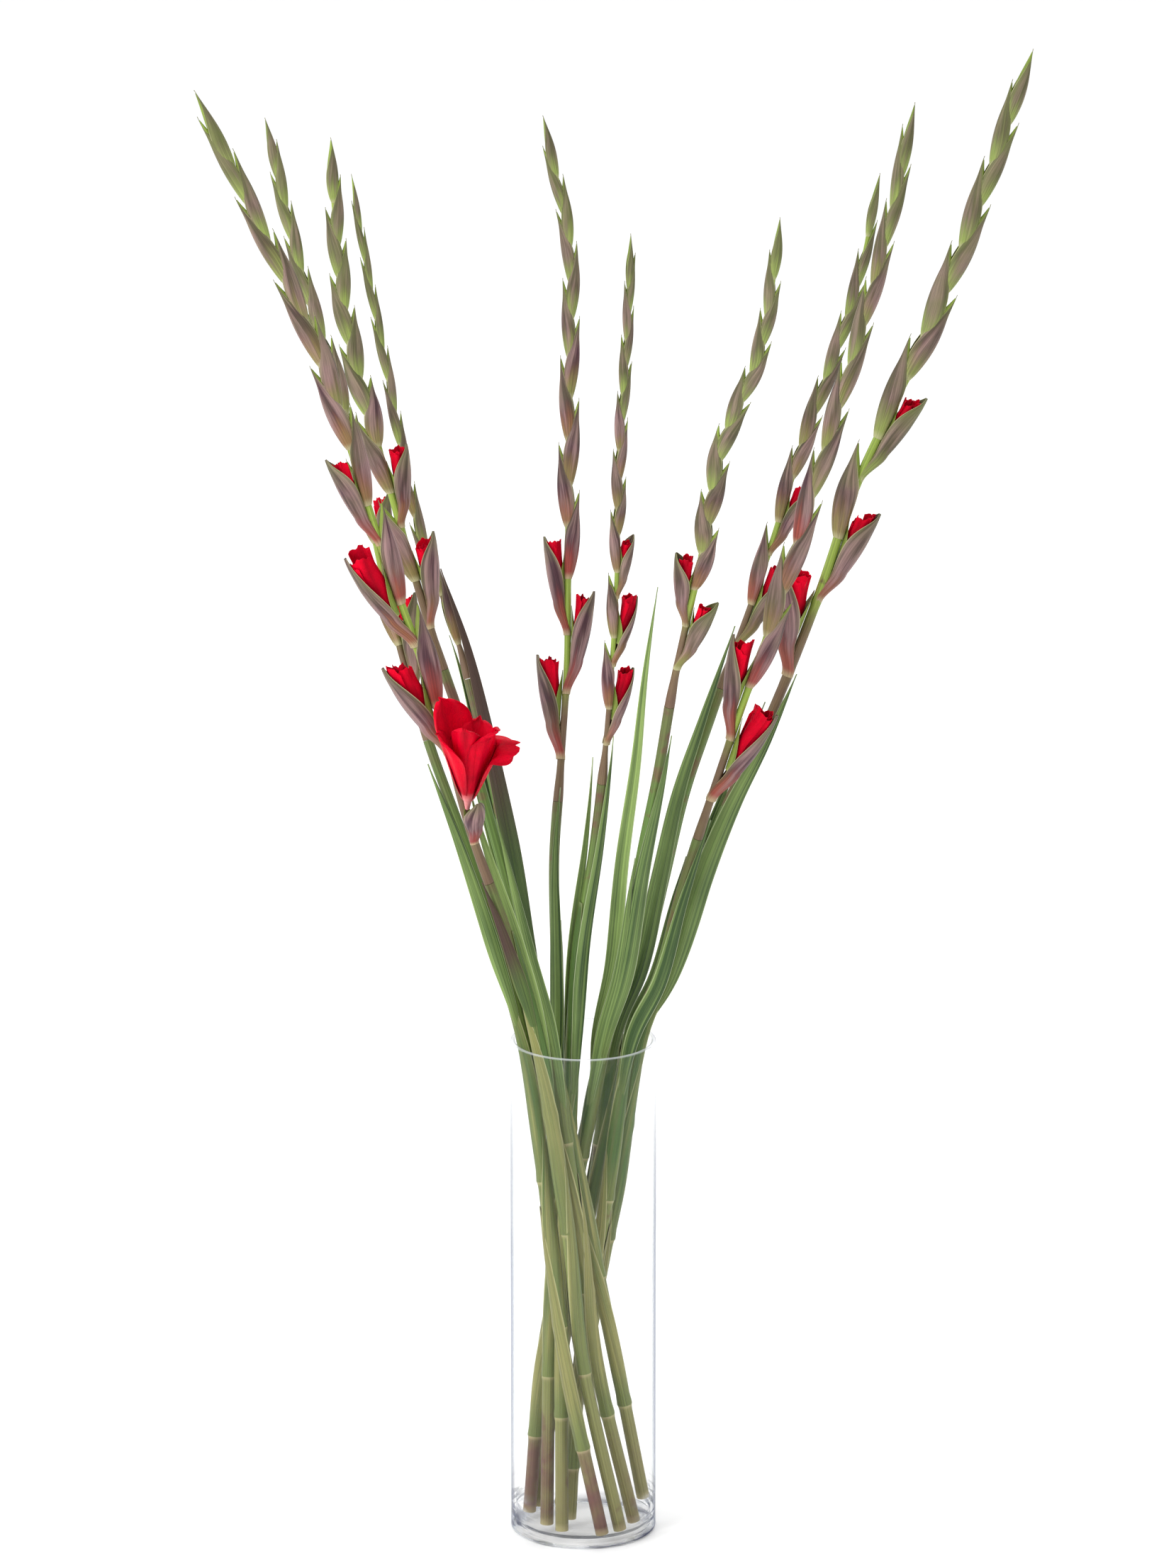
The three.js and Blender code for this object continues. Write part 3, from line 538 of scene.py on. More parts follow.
# Leaf blade: broad stripes and fine veins along it, whose light colour is partly the blade's own paler
# stripes and partly a painted sheen highlight, lighter towards one side as painted light, with a pale margin
# that is partly painted rim light and a dry tip. It fades in from the root colour, and to upper in its upper
# half, if that is given. Tone: along, across from 0 to 1, draw, light
def leafFinish(name, dark, light, margin, root, upper=None):
    finish, shader, place, (along, across, chance, shade) = startFinish(name)
    stripes = streaked((across, along, chance), (6.0, 0.9, 70.0), 2.0)
    patches = cloud(place, 14.0, 2.0)
    side = maths("ABSOLUTE", minus(times(across, 2.0), 1.0))
    # The stripes are partly the blade's own veining and partly a painted sheen highlight
    lightness = plus(shade, swing(stripes, 2.2))
    lightness = plus(lightness, swing(patches, 0.8), True)
    base = blend(lightness, dark, light)
    if upper:
        base = tint(base, upper, along, 0.3, 0.6, 0.85)
    base = blend(between(along, 0.24, 0.02), base, root)
    base, lines = veined(base, across, along, chance, 34.0, 0.42)
    # The pale margin is partly the margin's colour and partly painted rim light
    base = tint(base, margin, side, 0.9, 0.99, 0.6)
    base = tint(base, margin, along, 0.97, 1.0, 0.2)
    endFinish(shader, base, 0.34, patches, 0.18, lines, 0.7)
    return finish


# Petal: saturated red with fine veins that fan from its base and pale in the throat, with painted shade that
# darkens it towards the deep colour at its folds, edges and base. Tone: along, across from 0 to 1, dark (the
# painted shade), throat
def petalFinish(name, deep, bright, throatColour):
    finish, shader, place, (along, across, dark, throat) = startFinish(name)
    soft = cloud(place, 45.0, 3.0)
    # Painted shade: the dark tone takes the red down towards the deep colour
    brightness = minus(plus(0.72, swing(soft, 1.1)), dark, True)
    base = blend(brightness, deep, bright)
    base, lines = veined(base, across, along, soft, 40.0, 0.22)
    base = blend(throat, base, throatColour)
    setInputs(shader, {"Specular IOR Level": 0.15, "IOR": 1.25, "Subsurface Weight": 0.15,
                       "Subsurface Radius": (0.004, 0.0006, 0.0006), "Subsurface Scale": 0.5})
    endFinish(shader, base, 0.42, soft, 0.2, lines, 0.35, 0.0006)
    return finish


# Glass colours: faceOn is its tint, slanted the painted reflection at its edges and side lines, lipFaceOn
# and lipSlanted the painted highlight on the rim and its dark ends, streaks the painted refraction at the
# foot
glassSettings = {
    "faceOn": (0.75, 0.8, 0.86, 1), "slanted": (0.05, 0.08, 0.18, 1), "streaks": (0.04, 0.05, 0.1, 1),
    "lipFaceOn": (0.8, 0.83, 0.86, 1), "lipSlanted": (0.16, 0.18, 0.24, 1),
    "roughness": 0.02, "clear": 0.015, "transmission": 0.3, "bending": 1.15,
}


# Glass: nearly clear face on, with painted reflection that turns it bluish grey at a slant and draws a dark
# line down each side, a painted highlight on the rim and the bottom edge that turns dark where they slant
# away, and faint level streaks of painted refraction at the foot, whose shares add up to its alpha. Tone:
# rim, foot, bottom edge, outer wall
def glassFinish():
    s = glassSettings
    finish, shader, place, (rim, foot, bottom, outside) = startFinish("clearGlass")
    weight = newNode("ShaderNodeLayerWeight")
    weight.inputs["Blend"].default_value = 0.5
    facing = weight.outputs["Facing"]
    slant = between(facing, 0.6, 0.95)
    near = between(facing, 0.3, 0.75)
    axes = newNode("ShaderNodeSeparateXYZ")
    feed(axes.inputs[0], place)
    uneven = between(cloud(place, 5.0, 1.0), 0.35, 0.65)
    streaks = streaked(axes.outputs, (22.0, 22.0, 190.0), 2.0)
    footMarks = times(foot, between(streaks, 0.47, 0.56))
    lip = maths("MAXIMUM", rim, bottom)
    line = times(times(between(facing, 0.62, 0.84), outside), between(axes.outputs[2], 0.385, 0.28))
    # Painted reflection at a slant, painted highlight on the rim and bottom edge, and painted refraction
    # streaks at the foot
    shade = blend(slant, s["faceOn"], s["slanted"])
    shade = blend(lip, shade, blend(slant, s["lipFaceOn"], s["lipSlanted"]))
    shade = blend(footMarks, shade, s["streaks"])
    solid = times(slant, plus(0.1, times(uneven, 0.15)))
    shares = ((lip, 0.5, slant, 0.35), (line, 0.55, uneven, 0.3), (footMarks, 0.04, near, 0.85))
    for where, least, value, gain in shares:
        solid = plus(solid, times(where, plus(least, times(value, gain))))
    feed(shader.inputs["Base Color"], shade)
    feed(shader.inputs["Alpha"], plus(s["clear"], solid, True))
    setInputs(shader, {"Roughness": s["roughness"], "IOR": s["bending"],
                       "Transmission Weight": s["transmission"]})
    return finish


looks = {
    "bract": bractFinish("bractMauve", body=srgb(76, 42, 52), pale=srgb(188, 150, 148),
                         green=srgb(112, 122, 62), rust=srgb(164, 66, 56), margin=srgb(206, 202, 156),
                         lime=srgb(152, 170, 84)),
    "inner": bractFinish("bractInner", body=srgb(124, 142, 54), pale=srgb(150, 164, 72),
                         green=srgb(130, 152, 56), rust=srgb(158, 150, 70), margin=srgb(190, 196, 120),
                         lime=srgb(138, 162, 70)),
    "rachis": skinFinish("rachisLime", low=srgb(128, 110, 76), high=srgb(152, 176, 72),
                         patches=srgb(110, 84, 62), patchiness=-0.02, ring=srgb(132, 124, 68),
                         purple=srgb(112, 78, 70)),
    "stalk": skinFinish("stalkOlive", low=srgb(142, 140, 82), high=srgb(98, 130, 58),
                        patches=srgb(116, 98, 62), patchiness=0.07, ring=srgb(182, 170, 126),
                        purple=srgb(112, 68, 66)),
    "sheath": leafFinish("sheathOlive", dark=srgb(80, 110, 48), light=srgb(148, 146, 84),
                         margin=srgb(192, 190, 142), root=srgb(114, 126, 64)),
    "leaf": leafFinish("leafGreen", dark=srgb(56, 84, 38), light=srgb(154, 182, 102),
                       margin=srgb(206, 216, 176), root=srgb(112, 130, 64)),
    "purpleLeaf": leafFinish("leafPurple", dark=srgb(54, 76, 34), light=srgb(98, 124, 54),
                             margin=srgb(134, 120, 92), root=srgb(92, 116, 52), upper=srgb(78, 44, 44)),
    "petal": petalFinish("petalCrimson", deep=srgb(148, 2, 26), bright=srgb(246, 2, 44),
                         throatColour=srgb(234, 156, 156)),
    "glass": glassFinish(),
}
print("finishes ready")

vaseSettings = {
    "height": 405.0, "radius": 57.5, "wall": 4.0, "floor": 6.0, "footRound": 2.5, "innerRound": 4.0,
    "around": 128, "wallRows": 30, "disc": 12.0, "edgeBand": 8.0, "streakTop": 40.0, "streakFade": 30.0,
}


# Vase: a profile turned round +Z. The rim is a half circle and the corners are quarter circles
def makeVase():
    s = vaseSettings
    quarter = np.linspace(0, math.pi / 2, 7)
    half = np.linspace(0, math.pi, 13)
    top, floor, disc, band = s["height"], s["floor"], s["disc"], s["edgeBand"]
    outer, inner, foot, inside = s["radius"], s["radius"] - s["wall"], s["footRound"], s["innerRound"]
    rim = s["wall"] / 2
    rise = np.concatenate([np.linspace(foot + 1, top - 10, s["wallRows"]), [top - 3.4]])
    profile = np.concatenate([
        [[disc, 0.0], [outer - foot - band, 0.0]],
        np.stack([outer - foot + foot * np.sin(quarter), foot - foot * np.cos(quarter)], -1),
        np.stack([np.full_like(rise, outer), rise], -1),
        np.stack([outer - rim + rim * np.cos(half), top - rim + rim * np.sin(half)], -1),
        np.stack([np.full_like(rise, inner), rise[::-1]], -1),
        np.stack([inner - inside + inside * np.cos(quarter), floor + inside - inside * np.sin(quarter)], -1),
        [[inner - inside - band, floor], [disc, floor]],
    ])
    angle = fullTurn(s["around"])
    radius, height = profile[:, :1], profile[:, 1:]
    points = np.stack([radius * np.cos(angle), radius * np.sin(angle), height + 0 * angle], -1)
    # Masks for the glass's painted refraction streaks at the foot and its painted highlight on the rim and
    # bottom edge
    streaks = smooth((s["streakTop"] - height) / s["streakFade"]) * smooth((radius - inner + 5) / 4)
    lip = smooth((height - top + 1.3) / 0.8)
    outside = (radius > outer - 0.5 * s["wall"]) * 1.0
    bottom = smooth((3.0 - height) / 2.0) * smooth((radius - outer + 4) / 2)
    tone = (lip, streaks, bottom, outside + 0 * angle)
    makePiece("vaseGlass", [patch(points, tone)], [looks["glass"]], "vase", 30)


# Stalk: rings of the stem's radius plus a low cosine for its ribs, with a groove above each node
def stalkPatch(stem):
    s = stalkSettings
    nodes = stem["nodes"]
    end = scapeStart(stem) - seatGap
    close = np.linspace(-s["nodeBand"], s["nodeBand"], 9)
    rings = [np.linspace(0, end, int(end / s["step"]))] + [node + close for node in nodes]
    distance = np.unique(np.concatenate(rings))[:, None]
    angle = fullTurn(s["around"])
    groove = s["grooveDepth"] * bells(distance, nodes, s["grooveWidth"], s["grooveAbove"])
    radius = stemRadius(stem, distance) + s["ribDepth"] * np.cos(s["ribs"] * angle) - groove
    points = beside(stem, distance, radius * np.cos(angle), radius * np.sin(angle))
    ring = np.maximum(bells(distance, nodes, s["ringWidth"]), smooth((3 - distance) / 3))
    band = s["purpleBand"]
    purple = (stem["purpleFoot"] * smooth((band - distance) / 70)
              + 0.5 * smooth((distance - end + band) / band))
    return patch(points, (distance / 600, angle / (2 * math.pi) + draw(stem["number"], 3), ring, purple))


sheathSettings = {
    "length": 150.0, "lengthChange": 60.0, "endGap": 15.0, "wrap": 176.0, "narrowing": 0.86,
    "narrowPower": 1.6, "turnChange": 0.5, "near": 0.3, "far": 0.65, "edgeLift": 0.25, "widening": 0.2,
    "light": 0.85, "darkening": 0.35, "lightChange": 0.4, "sheet": 0.5, "rows": 22, "columns": 13,
}


# Sheath: a sheet round the stalk from a node up, whose half angle falls with a power of u. A higher one is
# wider across and darker
def sheathPatch(stem, low, key):
    s = sheathSettings
    number = stem["number"]
    high = min(low + s["length"] + s["lengthChange"] * draw(number, key), scapeStart(stem) - s["endGap"])
    u, v = sheetGrid(s["rows"], s["columns"])
    distance = mix(low, high, u) + 0 * v
    wrap = math.radians(s["wrap"]) * (1 - s["narrowing"] * u ** s["narrowPower"])
    angle = wrap * v + (0 if (key + number) % 2 else math.pi) + s["turnChange"] * (draw(number, key) - 0.5)
    radius = (stemRadius(stem, distance) + mix(s["near"], s["far"], smooth(u * 5))
              + s["edgeLift"] * u * np.abs(v))
    wide = 1 + s["widening"] * smooth((distance - 120) / 160) * smooth(u * 3) * smooth((1 - u) * 5)
    points = beside(stem, distance, radius * wide * np.cos(angle), radius * np.sin(angle))
    light = s["light"] - s["darkening"] * key + s["lightChange"] * (draw(number, key, 3) - 0.5)
    return sheetPatch(points, (u, (v + 1) / 2, draw(number, key, 2), light), s["sheet"], 1)


leafSettings = {
    "thickness": 0.9, "fold": 0.3, "lift": 6.2, "root": 0.14, "neck": 0.3, "widest": 0.4,
    "tip": 0.07, "tipEnd": 0.05, "point": 2.4, "splayAtRoot": 0.25, "splayPower": 1.4,
    "ripple": 0.35, "waves": 9, "sideLight": 0.15, "rows": 56, "rowPower": 0.9, "columns": 11,
}


# Leaf: half width rises by a smooth step and falls as 1 less a power of u; it lifts off the stalk at its
# root, leans out by a power of u, and each half folds back from the middle
def leafPatch(stem, leaf, key):
    s = leafSettings
    number = stem["number"]
    begin, end, side, splay, width, layer, turn, light = leaf
    turn = math.radians(turn)
    u, v = sheetGrid(s["rows"], s["columns"])
    u = u ** s["rowPower"]
    root = smooth(u / s["root"])
    narrow = np.maximum(1 - u ** s["point"], s["tip"] * (1 - u) + s["tipEnd"])
    half = width * mix(s["neck"], 1, smooth(u / s["widest"])) / 2 * narrow
    lift = (s["lift"] - s["fold"] * half * np.abs(v)) * root
    lean = s["splayAtRoot"] * root + (1 - s["splayAtRoot"]) * u ** s["splayPower"]
    start = 2 * math.pi * draw(number, key)
    ripple = s["ripple"] * np.sin(s["waves"] * u + start) * np.abs(v) * smooth(u * 3)
    across = side * splay * lean + half * v * math.cos(turn)
    depth = -layer * lift + half * v * math.sin(turn) + ripple
    points = beside(stem, mix(begin, end, u) + 0 * v, across, depth)
    purple = light < 0
    # Painted light: one half of the blade lighter and the other darker
    light = light + s["sideLight"] * v * (1 if key % 2 else -1) + purple
    tone = (u, (v + 1) / 2, draw(number, key, 1), light)
    return sheetPatch(points, tone, s["thickness"], 3 if purple else 2)


# Form of a closed bract, a keeled boat: its middle leans out by a power of u, and its half depth and half
# thickness swell by a sine and close to a point
def bractForm(bract, u):
    s = bractSettings
    swell = np.sin(math.pi * u ** s["fullness"])
    point = bract["size"] * (1 - u ** s["point"])
    lean = bract["size"] * (s["lean"] * u ** s["leanPower"] + s["standOff"] * smooth((u - 0.7) / 0.3))
    return lean, mix(s["collar"], s["depth"], swell) * point, mix(s["collar"], s["thickness"], swell) * point


# The bract after a bloom goes no further in than its collar, so that it clears the floret
def clearOfBloom(bract, inwards, lean, depth):
    if not bract["afterBloom"]:
        return depth
    return np.where(inwards, np.minimum(depth, lean + bractSettings["collar"] * bract["size"]), depth)


# Greenness of a bract: it grows with a power of the bract's share of the spike
def bractGreen(stem, bract, chance):
    s = bractSettings
    green = stem["green"] + s["green"] * bract["share"] ** s["greenPower"] + 0.35 * (chance - 0.5)
    return float(np.clip(green, 0, 1))


# Closed bract: the boat's section is an ellipse, narrower on its outer side, followed as far round as a
# half angle that falls with a power of u. The bud inside is a smaller, whole ellipse
def closedBract(stem, bract, key):
    s = bractSettings
    side = bract["side"]
    facing = side if side else 1
    reach = bract["reach"] * (1 + bract["clasp"])
    chance = draw(stem["number"], key, 7)
    green = bractGreen(stem, bract, chance)
    u, v = sheetGrid(s["rows"], s["columns"])
    u = u ** s["rowPower"]
    lean, depth, thick = bractForm(bract, np.minimum(u, s["lastRow"]))
    angle = np.radians(mix(s["wrap"], s["tipWrap"], u ** s["wrapPower"])) * v
    flare = 1 + s["flare"] * np.abs(v) ** 3
    depth = clearOfBloom(bract, np.cos(angle) < 0, lean, depth)
    across = side * lean + facing * depth * np.cos(angle) * flare
    bend = (chance - 0.5) * s["bend"] * u ** 3
    away = thick * np.sin(angle) * (1 - s["keel"] * np.cos(angle)) * flare + bend
    points = beside(stem, bract["tip"] - reach * (1 - u) + 0 * v, across, -facing * away)
    sheet = sheetPatch(points, (u, np.abs(v), green, chance), s["sheet"])
    turn = fullTurn(s["budSides"])
    bud = np.linspace(0, s["budEnd"], s["budSides"])[:, None]
    lean, depth, thick = bractForm(bract, bud)
    depth = clearOfBloom(bract, np.cos(turn) < 0, lean, depth)
    across = side * lean + facing * depth * s["budShare"] * np.cos(turn)
    away = thick * s["budShare"] * np.sin(turn)
    points = beside(stem, bract["tip"] - reach * (1 - bud) + 0 * turn, across, away)
    return [sheet, patch(points, (bud, 0.3, green, chance), 1)]


floretSettings = {
    "radius": 8.0, "smallest": 0.55, "petals": 3, "twist": 0.9, "edge": 0.18, "clearance": 0.5,
    "flat": 0.85, "stretch": 0.08, "root": 0.06, "foot": 0.34, "full": 0.92, "leanOut": 3.5,
    "outerShares": (0.86, 1.08), "innerShares": (0.52, 0.74), "outerHalf": 84.0, "innerHalf": 70.0,
    "flare": 0.24, "topStart": 0.62, "frill": 0.9, "fineFrill": 0.4, "crease": 0.09,
    "rows": 20, "columns": 17, "sheet": 0.5, "edgeShare": 0.5,
}


# A furled floret's distance, radius and middle at a share u of its bract. The radius grows by a quarter
# wave of a sine, and the middle stands off by it and the collar
def floretForm(bract, size, u):
    s = floretSettings
    distance = bract["tip"] - bract["reach"] * (1 - u * (1 + s["stretch"] * size))
    swell = np.sin(math.pi / 2 * np.clip((u - s["root"]) / (s["full"] - s["root"]), 0, 1))
    radius = s["radius"] * bract["size"] * mix(s["smallest"], 1, size) * swell
    middle = bractSettings["collar"] * bract["size"] + radius * (1 + s["edge"]) + s["clearance"]
    return distance, radius, middle


openBractSettings = {
    "wrap": 160.0, "tipWrap": 10.0, "shutPower": 6.0, "openPower": 1.5, "keel": 0.12, "neck": 0.6,
    "gap": 0.95, "wall": 0.9, "curl": 0.1, "sheet": 0.6, "rows": 30, "columns": 17,
    "innerWrap": 75.0, "innerTipWrap": 6.0, "innerPower": 1.6, "innerEnd": 0.86, "innerGap": 0.5,
    "innerSheet": 0.4, "innerRows": 18, "innerColumns": 9,
}


# Half angle of an opened bract, which falls with a power of u that is lower for a bigger bloom
def openWrap(size, u):
    s = openBractSettings
    return np.radians(mix(s["wrap"], s["tipWrap"], u ** mix(s["shutPower"], s["openPower"], size)))


# Opened bract: a pointed sheet round the floret, keel outwards, that curls out at its tip, and a smaller
# inner bract between the floret and the stem
def openBract(stem, bract, size, key):
    s, f = openBractSettings, floretSettings
    side = bract["side"]
    chance = draw(stem["number"], key, 11)
    u, v = sheetGrid(s["rows"], s["columns"])
    radius, middle = floretForm(bract, size, np.maximum(u, f["foot"]))[1:]
    root = smooth(u / f["foot"])
    wrap = openWrap(size, u)
    clear = radius * (1 + f["edge"]) + s["gap"] + s["wall"] / 2
    around = clear * mix(s["neck"], 1, root) * (1 + s["keel"] * (1 - np.abs(v)))
    curl = 1 + s["curl"] * smooth((u - 0.75) / 0.25)
    across = side * (middle * root + around * curl * np.cos(wrap * v))
    distance = floretForm(bract, size, u)[0] + 0 * v
    points = beside(stem, distance, across, -side * around * np.sin(wrap * v))
    outer = sheetPatch(points, (u, np.abs(v), bractGreen(stem, bract, chance), chance), s["sheet"])
    u, v = sheetGrid(s["innerRows"], s["innerColumns"])
    distance, radius, middle = floretForm(bract, size, mix(f["foot"], s["innerEnd"], u))
    wrap = np.radians(mix(s["innerWrap"], s["innerTipWrap"], u ** s["innerPower"]))
    around = radius * (1 + f["edge"]) + s["innerGap"]
    across = side * (middle - around * np.cos(wrap * v))
    points = beside(stem, distance + 0 * v, across, side * around * np.sin(wrap * v))
    return [outer, sheetPatch(points, (u, np.abs(v), 0.5, chance), s["innerSheet"], 1)]


rachisSettings = {
    "step": 6.0, "around": 18, "nodeWidth": 3.5, "nodeSwell": 0.1, "ridges": 5, "ridgeDepth": 0.03,
    "fade": 40.0,
}


# Rachis and scape: rings of the stem's radius, swollen a little below each bract, with low cosine ridges
def rachisPatch(stem):
    s = rachisSettings
    bracts = stem["bracts"]
    begin = scapeStart(stem)
    end = bracts[-1]["tip"] - 0.5 * bracts[-1]["reach"]
    distance = np.linspace(begin, end, int((end - begin) / s["step"]))[:, None]
    angle = fullTurn(s["around"])
    node = bells(distance, [bract["tip"] - bract["reach"] for bract in bracts], s["nodeWidth"])
    radius = stemRadius(stem, distance) * (1 + s["nodeSwell"] * node)
    radius = radius * (1 + s["ridgeDepth"] * np.cos(s["ridges"] * angle))
    points = beside(stem, distance, radius * np.cos(angle), radius * np.sin(angle))
    green = smooth((distance - bracts[0]["tip"] + 0.6 * bracts[0]["reach"]) / s["fade"])
    turn = angle / (2 * math.pi) + draw(stem["number"], 2)
    return patch(points, (green, turn, node * 0.3, 0.5 * (1 - green)), 2)


# Draws a floret's point in where it would pass through the opened bract round it or the inner one behind it.
# Each holds it in within the half angle that it wraps at that height, fading out past it
def heldByBracts(bract, size, u, radius, across, depth):
    s = openBractSettings
    held = radius * (1 + floretSettings["edge"])
    away = np.maximum(np.hypot(across, depth), 1e-6)
    turn = np.arctan2(np.abs(depth), across)
    wrap = openWrap(size, np.clip(u, 0, 1))
    outer = smooth((wrap + 0.3 - turn) / 0.25) * smooth((1.06 - u) / 0.04)
    inner = smooth((turn - math.pi + np.radians(s["innerWrap"]) + 0.3) / 0.25) * smooth((0.94 - u) / 0.06)
    squeeze = mix(1, np.minimum(1, (held + s["gap"] - 0.15) / away), outer)
    squeeze = np.minimum(squeeze, mix(1, np.minimum(1, (held + 0.1) / away), inner))
    return across * squeeze, depth * squeeze


# Furled floret: broad petals rolled round each other, each from inside its neighbour to outside the next.
# Every petal has a rounded top, ragged by sines, of its own height and leans out; folds run down it
def floretPatches(stem, bract, size, key):
    s = floretSettings
    number = stem["number"]
    patches = []
    rise, v = sheetGrid(s["rows"], s["columns"])
    for layer in range(2 * s["petals"]):
        inner = layer >= s["petals"]
        chance = draw(number, key, layer)
        turn = 2 * math.pi * (layer + (0.5 if inner else 0)) / s["petals"] + 5 * draw(number, key)
        arch = 1 - 0.08 * v ** 4 + 0.022 * np.sin(6 * v + 9 * chance) + 0.012 * np.sin(15 * v + 5 * chance)
        height = mix(0.88, 1.02, chance) * (0.97 if inner else 1.02) * mix(0.9, 1.02, size)
        u = s["foot"] + (height - s["foot"]) * rise * arch
        distance, radius, middle = floretForm(bract, size, u)
        share = mix(*s["innerShares" if inner else "outerShares"], (v + 1) / 2)
        angle = turn + s["twist"] * u + math.radians(s["innerHalf" if inner else "outerHalf"]) * v
        top = smooth((u - s["topStart"]) / 0.38)
        flare = 1 + top * (s["flare"] * size * (0.4 + 0.6 * np.sin(4.1 * v + 6 * chance)) - 0.04)
        ragged = s["frill"] * np.sin(9 * v + 9 * chance) + s["fineFrill"] * np.sin(21 * v + 4 * chance)
        crease = -s["crease"] * (1 - np.abs(v)) * smooth(u * 2)
        reach = radius * (share * flare + crease) + top ** 2 * ragged * bract["size"]
        outwards = s["leanOut"] * size * bract["size"] * top + bract["side"] * reach * np.cos(angle)
        across, depth = heldByBracts(bract, size, u, radius, outwards, reach * s["flat"] * np.sin(angle))
        points = beside(stem, distance, bract["side"] * (middle + across), depth)
        # Painted shade: darker towards the foot of each petal, down its middle and on the inner petals, plus
        # a random share
        dark = (0.5 * (1 - rise) + 0.35 * (1 - np.abs(v)) ** 3 + (0.3 if inner else 0.0)
                + 0.35 * (chance - 0.5))
        patches.append(sheetPatch(points, (u, (v + 1) / 2, dark, 0), s["sheet"], 0, s["edgeShare"]))
    return patches


flowerSettings = {
    "stem": "01", "bract": {"tip": 614.0, "side": 1, "reach": 34.0, "size": 0.95}, "bractSize": 0.75,
    "facing": (0.62, -0.78, 0.0), "at": 610.0, "forward": 5.0, "lean": (0.04, -0.42, 0.9),
    "length": 92.0, "mouth": 35.0, "tube": [(0, 1.8), (8, 3.2), (17, 4.4)], "petalStart": 9.0,
    "tip": 0.93, "fullness": 7, "narrowing": 0.3, "openPower": 0.76, "curl": 1.35, "wave": 1.5, "droop": 7.0,
    "frill": 0.9, "fineFrill": 0.2, "hookStart": 0.7, "hookDrop": 0.9, "throat": 0.11,
    "sheet": 0.7, "edgeShare": 0.5, "rows": 40, "columns": 31,
}

# fold creases a petal along its middle, point narrows its tip and hook rolls the tip outwards
petalKeys = ("turn", "throat", "mouth", "length", "spread", "fold", "point", "hook")
flowerPetals = [dict(zip(petalKeys, petal)) for petal in (
    (12, 3.2, 0.76, 0.74, 60, 4.0, 2.5, 10.0),
    (75, 1.4, 0.72, 0.76, 76, 2.0, 6.0, 1.0),
    (140, 3.2, 0.95, 1.0, 64, 3.0, 2.0, -2.0),
    (200, 1.4, 0.8, 0.88, 62, 3.0, 3.0, -1.0),
    (255, 3.2, 0.6, 1.08, 60, 5.0, 3.0, 0.0),
    (322, 1.4, 0.64, 1.04, 64, 6.0, 3.0, 2.0),
)]


flowerLean = unit(np.array(flowerSettings["lean"]))


# A direction across the flower, turned round its axis: a cosine of one across it and a sine of the other
def acrossFlower(angle):
    first = unit(np.array([1.0, 0, 0]) - flowerLean * flowerLean[0])
    second = np.cross(flowerLean, first)
    return np.cos(angle)[..., None] * first + np.sin(angle)[..., None] * second


# Petal of the open flower: it opens from throat to mouth by a power of u, rises by a sine so that it
# curls back, narrows to its tip, is creased along its middle, waves across and rolls over at its tip
def flowerPetal(base, petal, index):
    s = flowerSettings
    u, v = sheetGrid(s["rows"], s["columns"])
    length = (s["length"] - s["petalStart"]) * petal["length"]
    opening = u ** s["openPower"]
    narrow = np.sqrt(1 - s["tip"] * u ** s["fullness"]) * (1 - s["narrowing"] * u ** petal["point"])
    wave = s["wave"] * u * np.sin(3 * math.pi * v + index)
    frill = (s["frill"] * u ** 4 * np.sin(9 * v + 2 * index)
             + s["fineFrill"] * u ** 6 * np.sin(21 * v + index))
    crease = petal["fold"] * u * (np.abs(v) ** 0.8 - 0.5)
    hook = petal["hook"] * smooth((u - s["hookStart"]) / 0.3)
    radius = mix(petal["throat"], s["mouth"] * petal["mouth"], opening) + wave + frill - crease + hook
    rise = length * np.sin(s["curl"] * u) / math.sin(s["curl"])
    height = s["petalStart"] + rise - s["droop"] * opening * v ** 2 - s["hookDrop"] * hook
    angle = math.radians(petal["turn"]) + math.radians(petal["spread"]) * narrow * v
    points = base + flowerLean * height[..., None] + acrossFlower(angle) * radius[..., None]
    throat = smooth((s["throat"] - u) / s["throat"]) * 0.8
    # Painted shade: darker along the middle fold, at the edges and towards the base of each petal
    fold = 0.45 * (1 - np.abs(v)) ** 4 * u
    dark = fold + 0.3 * smooth((np.abs(v) - 0.75) / 0.25) + 0.25 * smooth((0.5 - u) / 0.4)
    return sheetPatch(points, (u, (v + 1) / 2, dark, throat), s["sheet"], 0, s["edgeShare"])


# Tube of the flower: rings whose radius goes straight from one pair of tube to the next
def flowerTube(base):
    tube = np.array(flowerSettings["tube"], float)
    angle = fullTurn(20)
    height = np.linspace(0, tube[-1, 0], 10)[:, None]
    radius = np.interp(height, tube[:, 0], tube[:, 1])
    points = base + flowerLean * (height + 0 * angle)[..., None] + acrossFlower(angle) * radius[..., None]
    # The tube gets a little painted shade and the throat colour
    return patch(points, (height / 90, angle / (2 * math.pi), 0.2, 0.85))


stems = [prepareStem(name, plan) for name, plan in stemPlans.items()]
makeVase()
print("vase made")

for stem in stems:
    patches = [stalkPatch(stem)] + [sheathPatch(stem, low, k) for k, low in enumerate(stem["nodes"])]
    patches += [leafPatch(stem, leaf, k) for k, leaf in enumerate(stem["leaves"])]
    finishes = [looks[key] for key in ("stalk", "sheath", "leaf", "purpleLeaf")]
    makePiece("stalkGreen_" + stem["name"], patches, finishes, "stalk_" + stem["name"])
print("stalks and leaves made")

